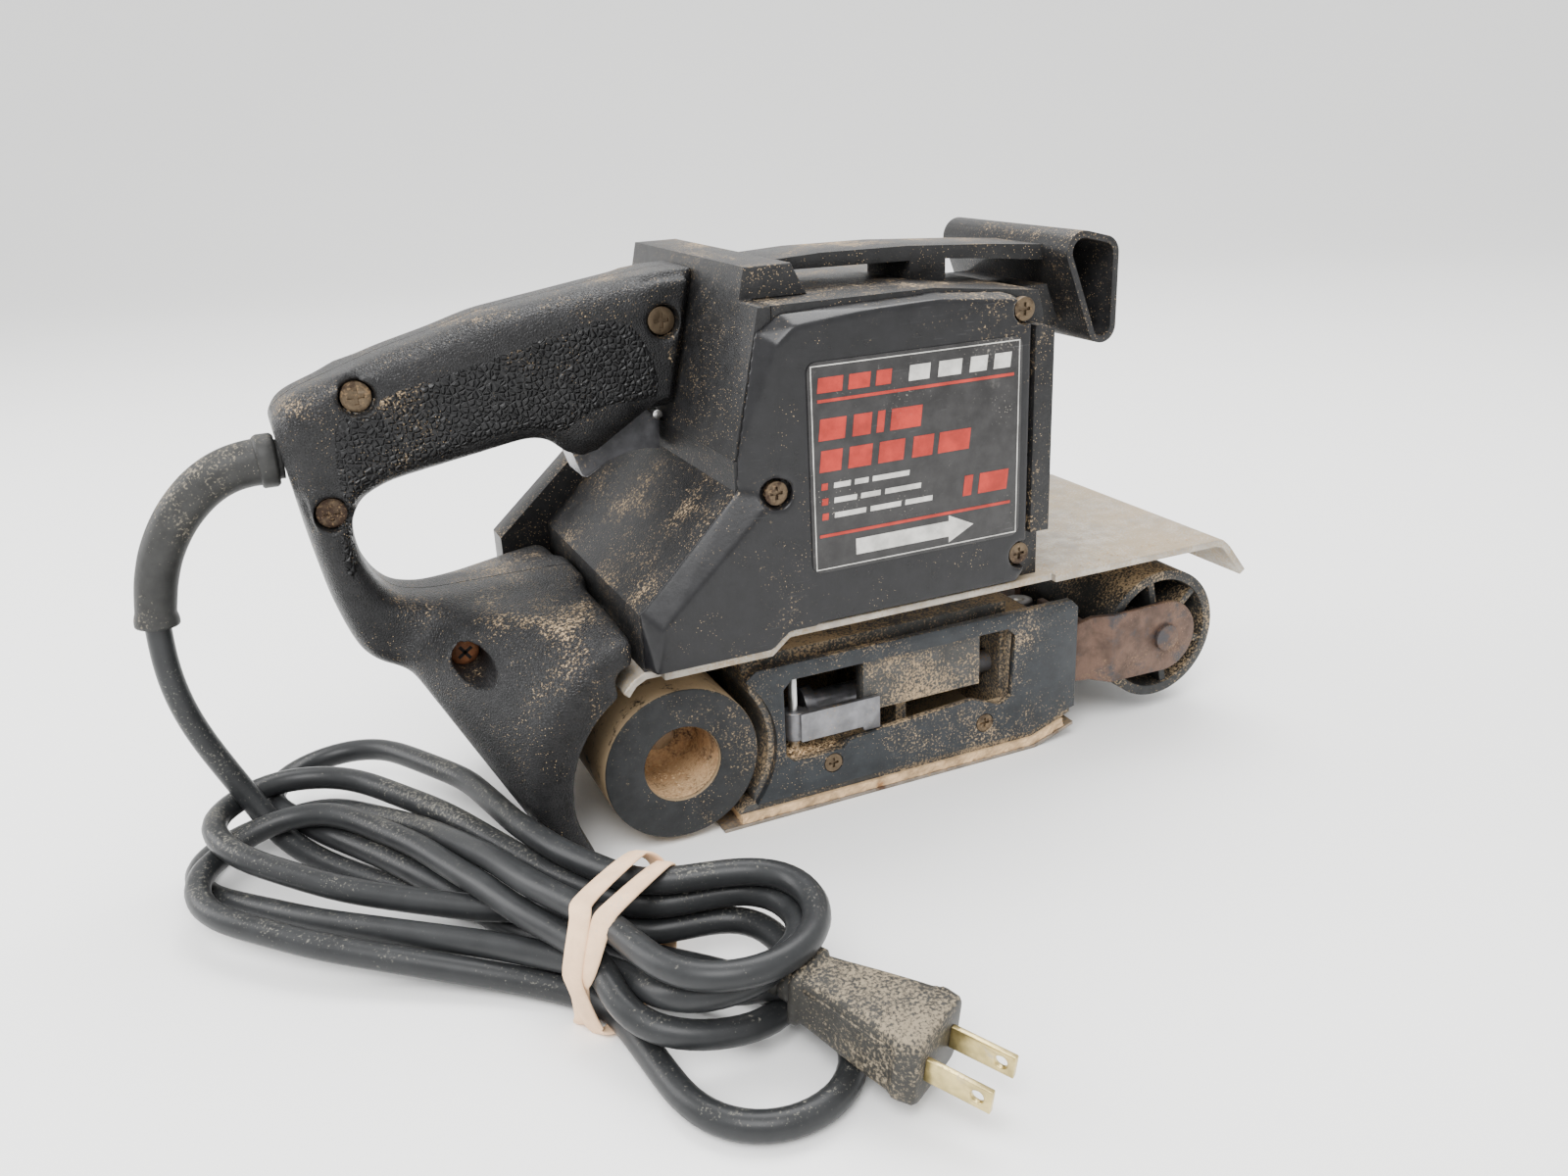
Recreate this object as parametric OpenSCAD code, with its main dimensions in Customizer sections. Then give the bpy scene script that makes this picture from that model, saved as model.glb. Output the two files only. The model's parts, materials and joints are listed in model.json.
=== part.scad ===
// Handheld belt sander, 76 mm wide belt, with a transverse motor above the platen.
// +X points forward, +Y to the tool's left, +Z up. The origin is the centre of the sole.
// Sizes are millimetres.

/* [Sole] */
// Length of the sole's flat
sole_l = 120; // [118:0.5:121]
// Width of the sole
sole_w = 79; // [78:0.5:80]
// Thickness of the steel shoe
shoe_t = 1.2; // [1:0.1:1.4]
// Thickness of the shoe and the cork pad together
sole_stack = 4.2; // [4:0.1:4.4]

/* [Rollers] */
// Drive roller axis, behind the sole's centre
drive_back = 72; // [71.6:0.1:72.4]
// Drive roller axis, above the sole
drive_z = 28; // [27.8:0.1:28.4]
// Diameter of the drive roller over its rubber
drive_d = 50.8; // [50:0.1:51.2]
// Front roller axis, ahead of the sole's centre
idler_ahead = 116; // [115.6:0.1:116.6]
// Front roller axis, above the sole
idler_z = 31.5; // [31:0.1:32]
// Diameter of the front roller
idler_d = 48.8; // [48:0.1:49]
// Width of both rollers
roller_w = 77; // [76:0.5:78]

/* [Motor and drive] */
// Motor axis, ahead of the sole's centre
motor_x = 2; // [1.5:0.5:2.5]
// Motor axis, above the sole
motor_z = 117; // [116:0.5:118]
// Outer diameter of the stator
stator_d = 85.6; // [84:0.1:85.8]
// Diameter of the armature's core
armature_d = 48; // [47:0.5:48.5]
// Teeth of the motor pulley
small_teeth = 14; // [12:1:14]
// Teeth of the drive roller's pulley
large_teeth = 44; // [42:1:44]
// Pitch of the timing belt
tooth_pitch = 3; // [2.9:0.1:3]

/* [Housing] */
// Right face of the motor housing
housing_right = -45; // [-45.5:0.5:-45]
// Left face of the motor housing
housing_left = 58; // [58:0.5:58.5]
// Height of the deck's top face
deck_top = 70; // [69.5:0.5:70]
// Thickness of the deck plate
deck_t = 2.6; // [2.4:0.1:3]
// Height of the housing's roof
roof_z = 167; // [166:0.5:167]
// Height of the block that joins the two handles
block_top = 176.5; // [176:0.5:178]
// Depth of the right side cover
cover_t = 6.3; // [5.5:0.1:6.5]

/* [Handle] */
// Middle plane of the rear handle, left of the belt's middle
handle_y = 20; // [19.5:0.5:20.5]
// Width of the rear handle
handle_w = 34; // [33:0.5:35]
// Wall of the rear handle
handle_wall = 2.5; // [2:0.25:3]

/* [Belt tension] */
// Diameter of the slide rods
rod_d = 8; // [7:0.5:8]
// Running clearance on the radius of every moving fit
run_gap = 0.06; // [0.03:0.01:0.1]

/* [Cord] */
// Diameter of the mains cord
cord_d = 7.4; // [7:0.1:7.4]
// Height of the tied hank
hank_h = 31; // [28:1:32]

/* [Hidden] */
$fn = 64;

drive_x = -drive_back;
drive_r = drive_d / 2;
idler_r = idler_d / 2;
roller_half = roller_w / 2;
handle_near = handle_y - handle_w / 2;
handle_far = handle_y + handle_w / 2;
deck_rear_top = deck_top - 5;
small_r = small_teeth * tooth_pitch / (2 * PI);
large_r = large_teeth * tooth_pitch / (2 * PI);
mesh_gap = 0.35;
belt_t = 1.8;
rod_z = 30;
rod_y_off = 22;
yoke_x = 79.5;
hood_bore = 37;
lever_x = -31.5;
lever_y = -33.5;
trigger_x = -57;
trigger_z = 129;

// The rear face of the block leans back towards its foot
function block_rear(z) = -40 - 12 * (block_top - z) / 52.5;
// The roof falls towards the front
function roof_at(x) = x < 15 ? roof_z : roof_z - (x - 15) * 2.5 / 23;
// A profile in the XZ plane, extruded along Y
module slab(points, y0, y1) {
    translate([0, y1, 0]) rotate([90, 0, 0]) linear_extrude(y1 - y0) polygon(points);
}

// The same profile, drawn in by an inset
module slab_inset(points, inset, y0, y1) {
    translate([0, y1, 0]) rotate([90, 0, 0]) linear_extrude(y1 - y0) offset(delta = -inset) polygon(points);
}

module rod_y(x, z, r, y0, y1) {
    translate([x, y1, z]) rotate([90, 0, 0]) cylinder(r = r, h = y1 - y0);
}

module rod_x(y, z, r, x0, x1) {
    translate([x0, y, z]) rotate([0, 90, 0]) cylinder(r = r, h = x1 - x0);
}

module rod_z(x, y, r, z0, z1) {
    translate([x, y, z0]) cylinder(r = r, h = z1 - z0);
}

module box(x0, x1, y0, y1, z0, z1) {
    translate([x0, y0, z0]) cube([x1 - x0, y1 - y0, z1 - z0]);
}

module ring_y(x, z, r_out, r_in, y0, y1) {
    difference() {
        rod_y(x, z, r_out, y0, y1);
        rod_y(x, z, r_in, y0 - 1, y1 + 1);
    }
}

// A cross-head screw whose head faces the tool's right
module screw_y(x, z, y_head, y_end, head_r, head_h, shank_r) {
    difference() {
        union() {
            rod_y(x, z, head_r, y_head, y_head + head_h);
            rod_y(x, z, shank_r, y_head + head_h - 0.1, y_end);
        }
        for (turn = [0, 90])
            translate([x, y_head, z]) rotate([0, turn, 0])
                cube([head_r * 1.1, 1.6, head_r * 0.28], center = true);
    }
}

// A toothed pulley profile, extruded along Y
module toothed_y(x, z, r_tip, depth, teeth, y0, y1) {
    points = [
        for (i = [0:teeth - 1], k = [0:3])
            let (a = 360 * (i + k / 4) / teeth, r = k < 2 ? r_tip : r_tip - depth)
            [x + r * cos(a), z + r * sin(a)]
    ];
    slab(points, y0, y1);
}

// A round tube swept along a route
function unit(v) = v / norm(v);
function heading(route, i) =
    unit(route[min(i + 1, len(route) - 1)] - route[max(i - 1, 0)]);
function tube_ring(route, i, r, up, sides) =
    let (t = heading(route, i), s = unit(cross(t, up)), n = cross(s, t))
    [for (k = [0:sides - 1]) route[i] + r * (s * cos(360 * k / sides) + n * sin(360 * k / sides))];

module swept_tube(route, radii, up, sides) {
    rings = len(route);
    points = [for (i = [0:rings - 1]) each tube_ring(route, i, radii[i], up, sides)];
    first_cap = [[for (k = [0:sides - 1]) k]];
    last_cap = [[for (k = [sides - 1:-1:0]) (rings - 1) * sides + k]];
    walls = [
        for (i = [0:rings - 2], k = [0:sides - 1])
            let (a = i * sides + k, b = i * sides + (k + 1) % sides)
            each [[a, a + sides, b], [b, a + sides, b + sides]]
    ];
    polyhedron(points, concat(first_cap, walls, last_cap));
}

function same(value, count) = [for (i = [0:count - 1]) value];

// --- Sole and platen -------------------------------------------------------

// The steel shoe that backs the belt, turned up at its nose
module shoe_plate() {
    half = sole_l / 2;
    color("#6d6a63")
        slab([
            [-half, 0], [half, 0], [half + 16.5, 5.4], [half + 16.5, 5.4 + shoe_t],
            [half - 0.3, shoe_t], [-half, shoe_t]
        ], -sole_w / 2, sole_w / 2);
}

// The cork pad between the shoe and the frame
module cork_pad() {
    half = sole_l / 2;
    color("#c19a6b")
        slab([
            [-half + 6, shoe_t], [half - 0.3, shoe_t], [half + 13, shoe_t + 4.4],
            [half + 12, sole_stack + 4], [half, sole_stack], [-half + 6, sole_stack]
        ], -sole_w / 2 + 0.4, sole_w / 2 - 0.4);
}

// The casting that carries the shoe, the slide rods and the tension lever
module platen_frame() {
    color("#4a4843")
    difference() {
        union() {
            slab([
                [-56, sole_stack], [60, sole_stack], [76, sole_stack + 5.6], [76, 12.5],
                [58, 6.8], [-54, 6.8]
            ], -37.6, 41);
            box(-48, 52, -31, 42, 6.8, 55.5);
            box(52, 63, -31, 42, 6.8, 50);
            box(-48, 63, -36.5, -31, 6.8, 50);
        }
        rod_y(drive_x, drive_z, 30, -60, 60);
        // Inner cavity, in two bays either side of the spring's rib
        box(-38, 8, -31.1, 38, 10, 51);
        box(12, 50, -31.1, 38, 10, 51);
        // Window in the right wall, with its upper plate left standing
        box(-38, -7, -36.6, -31, 19, 48);
        box(-7.1, 51, -36.6, -31, 19, 29.5);
        box(38, 51, -36.6, -31, 29, 48);
        for (side = [-1, 1])
            rod_x(side * rod_y_off, rod_z, rod_d / 2 + run_gap, 0, 70);
        rod_z(lever_x, lever_y, 1.5, 15, 49);
        rod_y(56, rod_z, 3 + run_gap, 28, 43);
        for (x = [-20, 39])
            rod_y(x, 15, 1.6, -37.7, -26);
    }
}

// The flat plate over the frame's right side
module platen_bracket() {
    color("#3d4144")
    difference() {
        slab([
            [-51, 6.9], [58.2, 6.9], [77, 12.6], [77, 51], [74, 54], [-46, 54], [-49.5, 51.5],
            [-50, 49]
        ], -39, -36.5);
        translate([0, -60, 0]) rod_y(drive_x, drive_z, 32, 0, 120);
        slab([
            [-34, 19], [-16, 19.5], [-14, 21.5], [-2, 23], [34, 25], [45.5, 20.5], [50, 23],
            [51, 45.5], [48, 48.5], [-34, 48.5], [-37, 45.5], [-37, 22]
        ], -40, -36);
        box(-60, 90, -38, -36.4, 0, 6.95);
        for (x = [-20, 39]) {
            rod_y(x, 15, 1.6, -39.1, -36);
            rod_y(x, 15, 3.5, -39.1, -37.8);
        }
    }
}

module platen_screws() {
    color("#6f6a5c")
        for (x = [-20, 39])
            screw_y(x, 15, -38.9, -27, 3.2, 1.1, 1.6);
}

// --- Belt tension and tracking --------------------------------------------

// The flat lever in the platen's window, with its boss on the pin
module tension_lever() {
    color("#6b6f75")
    difference() {
        union() {
            slab([
                [-31, 25], [-31, 35], [-2, 35], [-2, 23.6], [-8, 23.6], [-8.5, 25]
            ], -38.4, -36.7);
            rod_z(lever_x, lever_y, 3.6, 25, 35);
            box(-31, -27, -36.8, -33, 25, 35);
        }
        rod_z(lever_x, lever_y, 1.5 + run_gap, 20, 40);
    }
}

module lever_pin() {
    color("#9a9a98") rod_z(lever_x, lever_y, 1.5, 15, 49);
}

// Two rods and a crossbar that slide in the frame and carry the yoke
module slide_carriage() {
    color("#77736b")
    difference() {
        union() {
            rod_x(-rod_y_off, rod_z, rod_d / 2, -20, 73);
            rod_x(-rod_y_off, rod_z, 6, -24, -20);
            rod_x(-rod_y_off, rod_z, 6.8, 38, 41);
            rod_x(rod_y_off, rod_z, rod_d / 2, -6, 73);
            box(72.5, 76, -28, 28, 22, 40);
            for (z0 = [22, 35.2]) {
                box(75.9, yoke_x, -5, 5, z0, z0 + 4.8);
                rod_z(yoke_x, 0, 5, z0, z0 + 4.8);
            }
        }
        rod_z(yoke_x, 0, 2, 20, 42);
        rod_z(yoke_x, 0, 5.4, 26.8, 35.2);
    }
}

// The spring that keeps the belt tight
module tension_spring() {
    turns = 6;
    steps = turns * 12;
    coil = [
        for (i = [0:steps])
            [
                13 + 24 * i / steps,
                -rod_y_off + 5.4 * cos(360 * turns * i / steps),
                rod_z + 5.4 * sin(360 * turns * i / steps)
            ]
    ];
    color("#a7a39a") swept_tube(coil, same(0.8, len(coil)), [1, 0, 0], 6);
}

// One arm of the yoke, stepped outwards past the platen
module yoke_arm() {
    intersection() {
        translate([0, 0, 14]) linear_extrude(36)
            polygon([
                [79, -35.5], [86.4, -35.5], [92, -40], [131, -40], [131, -38], [92.8, -38],
                [87.2, -33.5], [79, -33.5]
            ]);
        union() {
            slab([[79, 20], [79, 42], [92, 44.5], [idler_ahead, 45], [idler_ahead, 18], [92, 18.5]], -50, 0);
            rod_y(idler_ahead, idler_z, 13.5, -50, 0);
        }
    }
}

// The steel fork that holds the front roller
module yoke() {
    color("#7a4a33")
    difference() {
        union() {
            yoke_arm();
            mirror([0, 1, 0]) yoke_arm();
            box(82.5, 85, -35.4, 35.4, 20, 42);
            rod_z(yoke_x, 0, 5, 27.1, 34.9);
            box(yoke_x, 83, -4, 4, 27.1, 34.9);
        }
        rod_z(yoke_x, 0, 2 + run_gap, 20, 42);
        box(81, 86, -7, 7, 19, 27.1);
        box(81, 86, -7, 7, 34.9, 43);
        rod_y(idler_ahead, idler_z, 4, -50, 50);
    }
}

module yoke_pin() {
    color("#9a9a98") rod_z(yoke_x, 0, 2, 22, 40);
}

// The front roller, a ribbed plastic wheel
module idler_wheel() {
    half = roller_half - 2;
    color("#3a3c3d")
    difference() {
        union() {
            ring_y(idler_ahead, idler_z, idler_r, idler_r - 3.6, -half, half);
            rod_y(idler_ahead, idler_z, 8, -half, half);
            rod_y(idler_ahead, idler_z, idler_r - 3, -2, 2);
            for (i = [0:5])
                translate([idler_ahead, 0, idler_z]) rotate([0, 60 * i + 18, 0])
                    box(6, idler_r - 3, -half + 1, half - 1, -1.3, 1.3);
        }
        rod_y(idler_ahead, idler_z, 4 + run_gap, -half - 1, half + 1);
    }
}

module idler_axle() {
    color("#8a4b38") {
        rod_y(idler_ahead, idler_z, 4, -40, 40);
        rod_y(idler_ahead, idler_z, 4.8, -41.6, -40);
        rod_y(idler_ahead, idler_z, 4.8, 40, 41.6);
    }
}

// The knob that tilts the yoke to keep the belt on line
module tracking_knob() {
    color("#1d1d1e") {
        toothed_y(56, rod_z, 10.5, 1, 18, 43, 54);
        rod_y(56, rod_z, 3, 28.5, 43);
    }
}

// --- Drive roller ----------------------------------------------------------

module drive_shaft() {
    color("#9a9a98") rod_y(drive_x, drive_z, 6, -14, 68);
}

// The metal core, with a deep hollow in its right end
module drive_roller_core() {
    color("#b98a52")
    difference() {
        rod_y(drive_x, drive_z, drive_r - 3, -roller_half + 2.5, roller_half - 0.5);
        rod_y(drive_x, drive_z, 12.6, -roller_half, -14);
        rod_y(drive_x, drive_z, 6, -15, 60);
    }
}

// The rubber sleeve, which also covers the core's right end
module drive_roller_tread() {
    color("#3b3d3e")
    difference() {
        rod_y(drive_x, drive_z, drive_r, -roller_half, roller_half - 0.5);
        rod_y(drive_x, drive_z, drive_r - 3, -roller_half + 2.5, roller_half + 1);
        rod_y(drive_x, drive_z, 12.6, -roller_half - 1, roller_half);
    }
}

module drive_bearings() {
    color("#9a9a98")
        for (y0 = [42.5, 50.8])
            ring_y(drive_x, drive_z, 11, 6 + run_gap, y0, y0 + 7);
}

module large_pulley() {
    color("#77736b")
    difference() {
        toothed_y(drive_x, drive_z, large_r, 1, large_teeth, 59, 67.5);
        rod_y(drive_x, drive_z, 6, 58, 68);
    }
}

// --- Timing belt -----------------------------------------------------------

module belt_loop(extra, y0, y1) {
    hull() {
        rod_y(drive_x, drive_z, large_r + extra, y0, y1);
        rod_y(motor_x, motor_z, small_r + extra, y0, y1);
    }
}

module timing_belt() {
    color("#1d1d1e")
    difference() {
        belt_loop(mesh_gap + belt_t, 60, 67);
        belt_loop(mesh_gap, 59, 68);
    }
}

// --- Motor -----------------------------------------------------------------

module armature_shaft() {
    color("#9a9a98") rod_y(motor_x, motor_z, 4, -42, 68);
}

module armature_core() {
    slots = 12;
    color("#6b6f75")
    difference() {
        rod_y(motor_x, motor_z, armature_d / 2, -5, 35);
        rod_y(motor_x, motor_z, 4, -6, 36);
        for (i = [0:slots - 1])
            translate([motor_x, 0, motor_z]) rotate([0, 360 * i / slots, 0])
                box(armature_d / 2 - 9, armature_d / 2 + 1, -6, 36, -1.2, 1.2);
    }
}

module commutator() {
    color("#b8733e") ring_y(motor_x, motor_z, 11, 4, -28, -14);
}

module cooling_fan() {
    blades = 9;
    color("#2c2d2e")
    difference() {
        union() {
            rod_y(motor_x, motor_z, 9, 43.5, 49.2);
            rod_y(motor_x, motor_z, 36, 43.5, 44.5);
            for (i = [0:blades - 1])
                translate([motor_x, 0, motor_z]) rotate([0, 360 * i / blades, 0])
                    box(8, 35, 44.4, 49.2, -0.8, 0.8);
        }
        rod_y(motor_x, motor_z, 4, 43, 50);
    }
}

module small_pulley() {
    color("#77736b")
    difference() {
        toothed_y(motor_x, motor_z, small_r, 1, small_teeth, 59, 67.5);
        rod_y(motor_x, motor_z, 4, 58, 68);
    }
}

module motor_bearings() {
    color("#9a9a98") {
        ring_y(motor_x, motor_z, 11, 4 + run_gap, -41, -34);
        ring_y(motor_x, motor_z, 11, 4 + run_gap, 50.6, 57.6);
    }
}

module stator_core() {
    color("#565a5e") ring_y(motor_x, motor_z, stator_d / 2, armature_d / 2 + 0.6, -5, 35);
}

module field_coils() {
    color("#a4572c") {
        ring_y(motor_x, motor_z, 39, 27, -12.8, -5);
        ring_y(motor_x, motor_z, 39, 27, 35, 42.4);
    }
}

// The plate that closes the motor's right end and holds its bearing
module motor_end_plate() {
    color("#8d8f90")
    difference() {
        union() {
            rod_y(motor_x, motor_z, stator_d / 2, -44.5, -41);
            rod_y(motor_x, motor_z, 14.5, -42, -33);
        }
        rod_y(motor_x, motor_z, 11, -41, -32);
        rod_y(motor_x, motor_z, 6, -46, -40);
        rod_y(-41, 114, 2.4, -46, -40);
        for (i = [0:5])
            translate([motor_x, 0, motor_z]) rotate([0, 60 * i + 30, 0])
                rod_y(28, 0, 7, -46, -40);
    }
}

module brush_holders() {
    color("#b48a3a")
        for (side = [-1, 1])
            difference() {
                box(
                    min(motor_x + side * 13, motor_x + side * 38),
                    max(motor_x + side * 13, motor_x + side * 38),
                    -41, -13, motor_z - 6, motor_z + 6
                );
                rod_y(motor_x, motor_z, 15, -42, -32);
                box(
                    min(motor_x + side * 12, motor_x + side * 35),
                    max(motor_x + side * 12, motor_x + side * 35),
                    -26, -16, motor_z - 3.5, motor_z + 3.5
                );
            }
}

module carbon_brushes() {
    color("#2a2a2b")
        for (side = [-1, 1])
            box(
                min(motor_x + side * 11.2, motor_x + side * 30),
                max(motor_x + side * 11.2, motor_x + side * 30),
                -26, -16, motor_z - 3.4, motor_z + 3.4
            );
}

// --- Housing ---------------------------------------------------------------

// The profile of the housing, seen from the right
housing_profile = [
    [-84, deck_rear_top], [-45, deck_rear_top], [-39, deck_top], [54, deck_top], [54, 156],
    [52, roof_at(52)], [38, roof_at(38)], [15, roof_z], [-38, roof_z], [-38, 124], [-52, 124],
    [-52, 115], [-84, 83]
];

// The casing round the motor, with a leaning rear wall
module motor_housing() {
    color("#2b2b2b")
    difference() {
        union() {
            slab(housing_profile, housing_right, housing_left);
            // Front lip beside the side cover
            slab([[47, 87], [54, 87], [54, 152], [50, 153.5], [47, 153.5]],
                housing_right - cover_t, housing_right + 1);
        }
        rod_y(motor_x, motor_z, stator_d / 2, housing_right - 1, 49.8);
        rod_y(motor_x, motor_z, 11, 49, 59);
        // Rear space behind the motor
        slab([[-80, 69], [-48, 69], [-46, 100], [-52, 108], [-80, 81]], housing_right - 1, 50);
        // Dust way to the front tube
        box(40, 55, -12, 24, 149, 156);
        for (p = [[-41, 114], [44, 158.5], [44, 80]])
            rod_y(p[0], p[1], 1.6, housing_right - 1, housing_right + 10);
    }
}

// The slab that the rear handle and the front handle join
module rear_block() {
    color("#272726") {
        difference() {
            slab([
                [block_rear(124), 124], [-38, 124], [-38, roof_z],
                [block_rear(roof_z), roof_z]
            ], housing_right, housing_left);
            rod_y(motor_x, motor_z, stator_d / 2, housing_right - 1, 49.8);
        }
        slab([
            [block_rear(roof_z), roof_z], [-20, roof_z], [-25, block_top], [-40, block_top]
        ], -31, 66);
    }
}

// Bevelled cover over the motor's right side
module cover_upper() {
    y_face = housing_right - cover_t;
    hull() {
        slab([
            [-30, 71.2], [46.5, 71.2], [46.5, 160.5], [38, 164], [15, 166], [-36, 165],
            [-44, 160], [-51.5, 124], [-52, 116]
        ], housing_right - 0.5, housing_right);
        slab([
            [-30, 71.2], [42, 71.2], [45.5, 76], [45.5, 157], [43, 161.5], [13, 164.5],
            [-6, 164], [-34, 161.5], [-39.5, 157], [-41, 114]
        ], y_face, y_face + 0.5);
    }
}

module cover_lower() {
    y_face = housing_right - cover_t;
    hull() {
        slab([
            [-84, deck_rear_top + 0.8], [-45, deck_rear_top + 0.8], [-39.5, 71.2], [-28, 71.2],
            [-28, 116], [-52, 115.6], [-84, 84]
        ], housing_right - 0.5, housing_right);
        slab([
            [-82, deck_rear_top + 0.8], [-45, deck_rear_top + 0.8], [-39.5, 71.2], [-28, 71.2],
            [-28, 114], [-41, 114], [-46, 108], [-54, 101], [-79, 79]
        ], y_face, y_face + 0.5);
    }
}

module side_cover() {
    color("#262627")
    difference() {
        union() {
            cover_upper();
            cover_lower();
        }
        // Hollow inside, over the motor's end
        rod_y(motor_x, motor_z, 40, housing_right - 3.8, housing_right + 1);
        // Step over the deck plate's joggle
        slab([
            [-60, 60], [-60, deck_rear_top + 0.4], [-45.2, deck_rear_top + 0.4], [-39.2, deck_top + 0.4],
            [-20, deck_top + 0.4], [-20, 60]
        ], housing_right - 8, housing_right + 1);
        for (p = [[-41, 114], [44, 158.5], [44, 80]]) {
            rod_y(p[0], p[1], 1.6, housing_right - 10, housing_right + 1);
            rod_y(p[0], p[1], 4.6, housing_right - 10, housing_right - 2.4);
        }
    }
}

module cover_screws() {
    color("#3a362e")
        for (p = [[-41, 114], [44, 158.5], [44, 80]])
            screw_y(p[0], p[1], housing_right - 4.6, housing_right + 10, 3.6, 2.2, 1.6);
}

// The rating plate's blank panel
module label_plate() {
    y_face = housing_right - cover_t;
    color("#3c3b39")
        translate([0, y_face, 0]) rotate([90, 0, 0]) linear_extrude(0.5)
            hull()
                for (x = [-28, 39], z = [90.5, 148])
                    translate([x, z]) circle(r = 3, $fn = 32);
}

// Cover over the timing belt, on the left
module belt_cover() {
    color("#2b2b2b")
    difference() {
        union() {
            slab([
                [-98, 28], [-101, 45], [-101, 80], [-56, 120], [-46, 160], [-38, 166.8],
                [15, 166.8], [38, roof_at(38) - 0.2], [52, 158], [53.8, 150], [53.8, 80], [10, 50],
                [-44, 16]
            ], housing_left, 70);
            rod_y(drive_x, drive_z, 26.8, housing_left, 70);
        }
        hull() {
            rod_y(drive_x, drive_z, large_r + 3.4, housing_left - 1, 68.4);
            rod_y(motor_x, motor_z, small_r + 3.4, housing_left - 1, 68.4);
        }
    }
}

// The casting at the left that carries the roller's bearings and the platen
module side_frame() {
    color("#5b5a56")
    difference() {
        union() {
            rod_y(drive_x, drive_z, 30, 42, housing_left);
            slab([
                [-72, 8], [-60, 6], [40, 6], [40, deck_top - deck_t], [-38, deck_top - deck_t],
                [-44, deck_rear_top - deck_t], [-80, deck_rear_top - deck_t], [-80, 52]
            ], 42, 50.5);
            slab([[-72, 8], [-60, 6], [0, 6], [0, 60], [-80, 60], [-80, 52]], 50, housing_left);
        }
        rod_y(drive_x, drive_z, 11, 41, 59);
    }
}

// Thin plate over the belt, turned down at the front
module deck_plate() {
    under = deck_top - deck_t;
    rear_under = deck_rear_top - deck_t;
    color("#b7b0a1")
    difference() {
        slab([
            [-91, 59.4], [-88, 62.8], [-84, deck_rear_top], [-45, deck_rear_top],
            [-39, deck_top], [127, deck_top], [130, 69.3], [132.3, 67.4], [141, 56.4],
            [139, 54.8], [130.4, 65.6], [129, 66.8], [126.6, under], [-38, under],
            [-44, rear_under], [-83.4, rear_under], [-86.6, 60.8], [-89.2, 57.6]
        ], -51, 51);
        box(-95, -79, -52, housing_right, 50, 75);
        box(-79.1, 58, -52, housing_right - 3.5, 50, 75);
    }
}

// --- Front handle and dust tube -------------------------------------------

module tube_section(shrink) {
    hull() {
        translate([77, 171.5]) circle(r = 6.5 - shrink, $fn = 40);
        translate([85, 170]) circle(r = 6 - shrink, $fn = 40);
        translate([85.5, 147]) circle(r = 5.5 - shrink, $fn = 40);
    }
}

// The flat front grip, its pillar and the dust tube across the nose
module front_handle() {
    color("#2b2b2b")
    difference() {
        union() {
            slab([
                [-25, block_top], [-10, 177.2], [20, 176.8], [50, 175], [74, 173], [74, 168],
                [50, 170.5], [34, 171.8], [34, roof_at(34)], [21, roof_at(21)], [21, 172.2],
                [-19, 173], [-22.9, 172.5]
            ], -20, 8);
            translate([0, 41, 0]) rotate([90, 0, 0]) linear_extrude(75) tube_section(0);
            box(54, 79, -18, 30, 146, 160);
        }
        translate([0, 38, 0]) rotate([90, 0, 0]) linear_extrude(80) tube_section(2.2);
        box(53, 80, -15, 27, 149, 157);
    }
}

// --- Rear handle -----------------------------------------------------------

// The loop of the handle and the middle of the hood, seen from the right
handle_outline = [
        [block_rear(173.5) - 0.1, 173.5], [-52, 173], [-68, 171], [-88, 168], [-108, 165],
        [-121, 161], [-137, 157], [-152, 152], [-165, 147.5], [-169.5, 144.5], [-170.6, 140],
        [-170, 134], [-168, 120], [-166, 104], [-163, 86], [-160, 75], [-157, 67], [-152, 62],
        [-147, 60], [-139, 55], [-134, 50], [-128, 44], [-122, 22], [-117, 8],
        [-84.2, 8], [-84.2, 80], [-134, 80], [-143, 82], [-148, 87], [-151.5, 94],
        [-153.5, 104], [-153, 110], [-150, 115], [-141, 119], [-116, 123], [-98, 126],
        [-92, 125], [-87, 120.5], [-82, 118.5], [-77, 119.5], [-60, 130],
        [block_rear(131.5) - 0.1, 131.5]
];
handle_hollow = [
    [-52.6, 135], [-46.5, 162.5], [-62, 164.5], [-105, 160], [-137, 151.5], [-160, 142.5],
    [-163, 136], [-161.5, 121], [-156, 119.5], [-141, 124], [-100, 131], [-87, 131]
];
screw_posts = [[-147, 146], [-159, 113], [-53, 158], [-128, 66]];

// One half of the handle's loop, as the right half
module handle_half() {
    difference() {
        union() {
            slab(handle_outline, handle_near + 4, handle_y);
            slab_inset(handle_outline, 2.5, handle_near, handle_near + 4.1);
        }
        difference() {
            slab(handle_hollow, handle_near + handle_wall, handle_y + 1);
            for (p = screw_posts)
                rod_y(p[0], p[1], 6.4, handle_near, handle_y + 2);
        }
        // Trigger slot, pin bore and cord bore
        box(-87.2, -52.8, handle_y - 9, handle_y + 9, 110, 137.5);
        rod_y(trigger_x, trigger_z, 1.5, handle_near + 2, handle_y + 1);
        rod_x(handle_y, 128, 6, -175, -160);
    }
}

// The flared side of the hood, from the handle's foot out to the flange
hood_root = [
    [-148, 67], [-138, 56.5], [-126.8, 44.6], [-120.8, 22.4], [-116, 9.5], [-86, 9.5],
    [-86, 79], [-134, 79]
];
hood_flange = [
    [-119, 39], [-119.5, 25], [-114, 9], [-87, 9], [-86, 77.5], [-99, 71], [-110, 61],
    [-117, 50]
];

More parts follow.
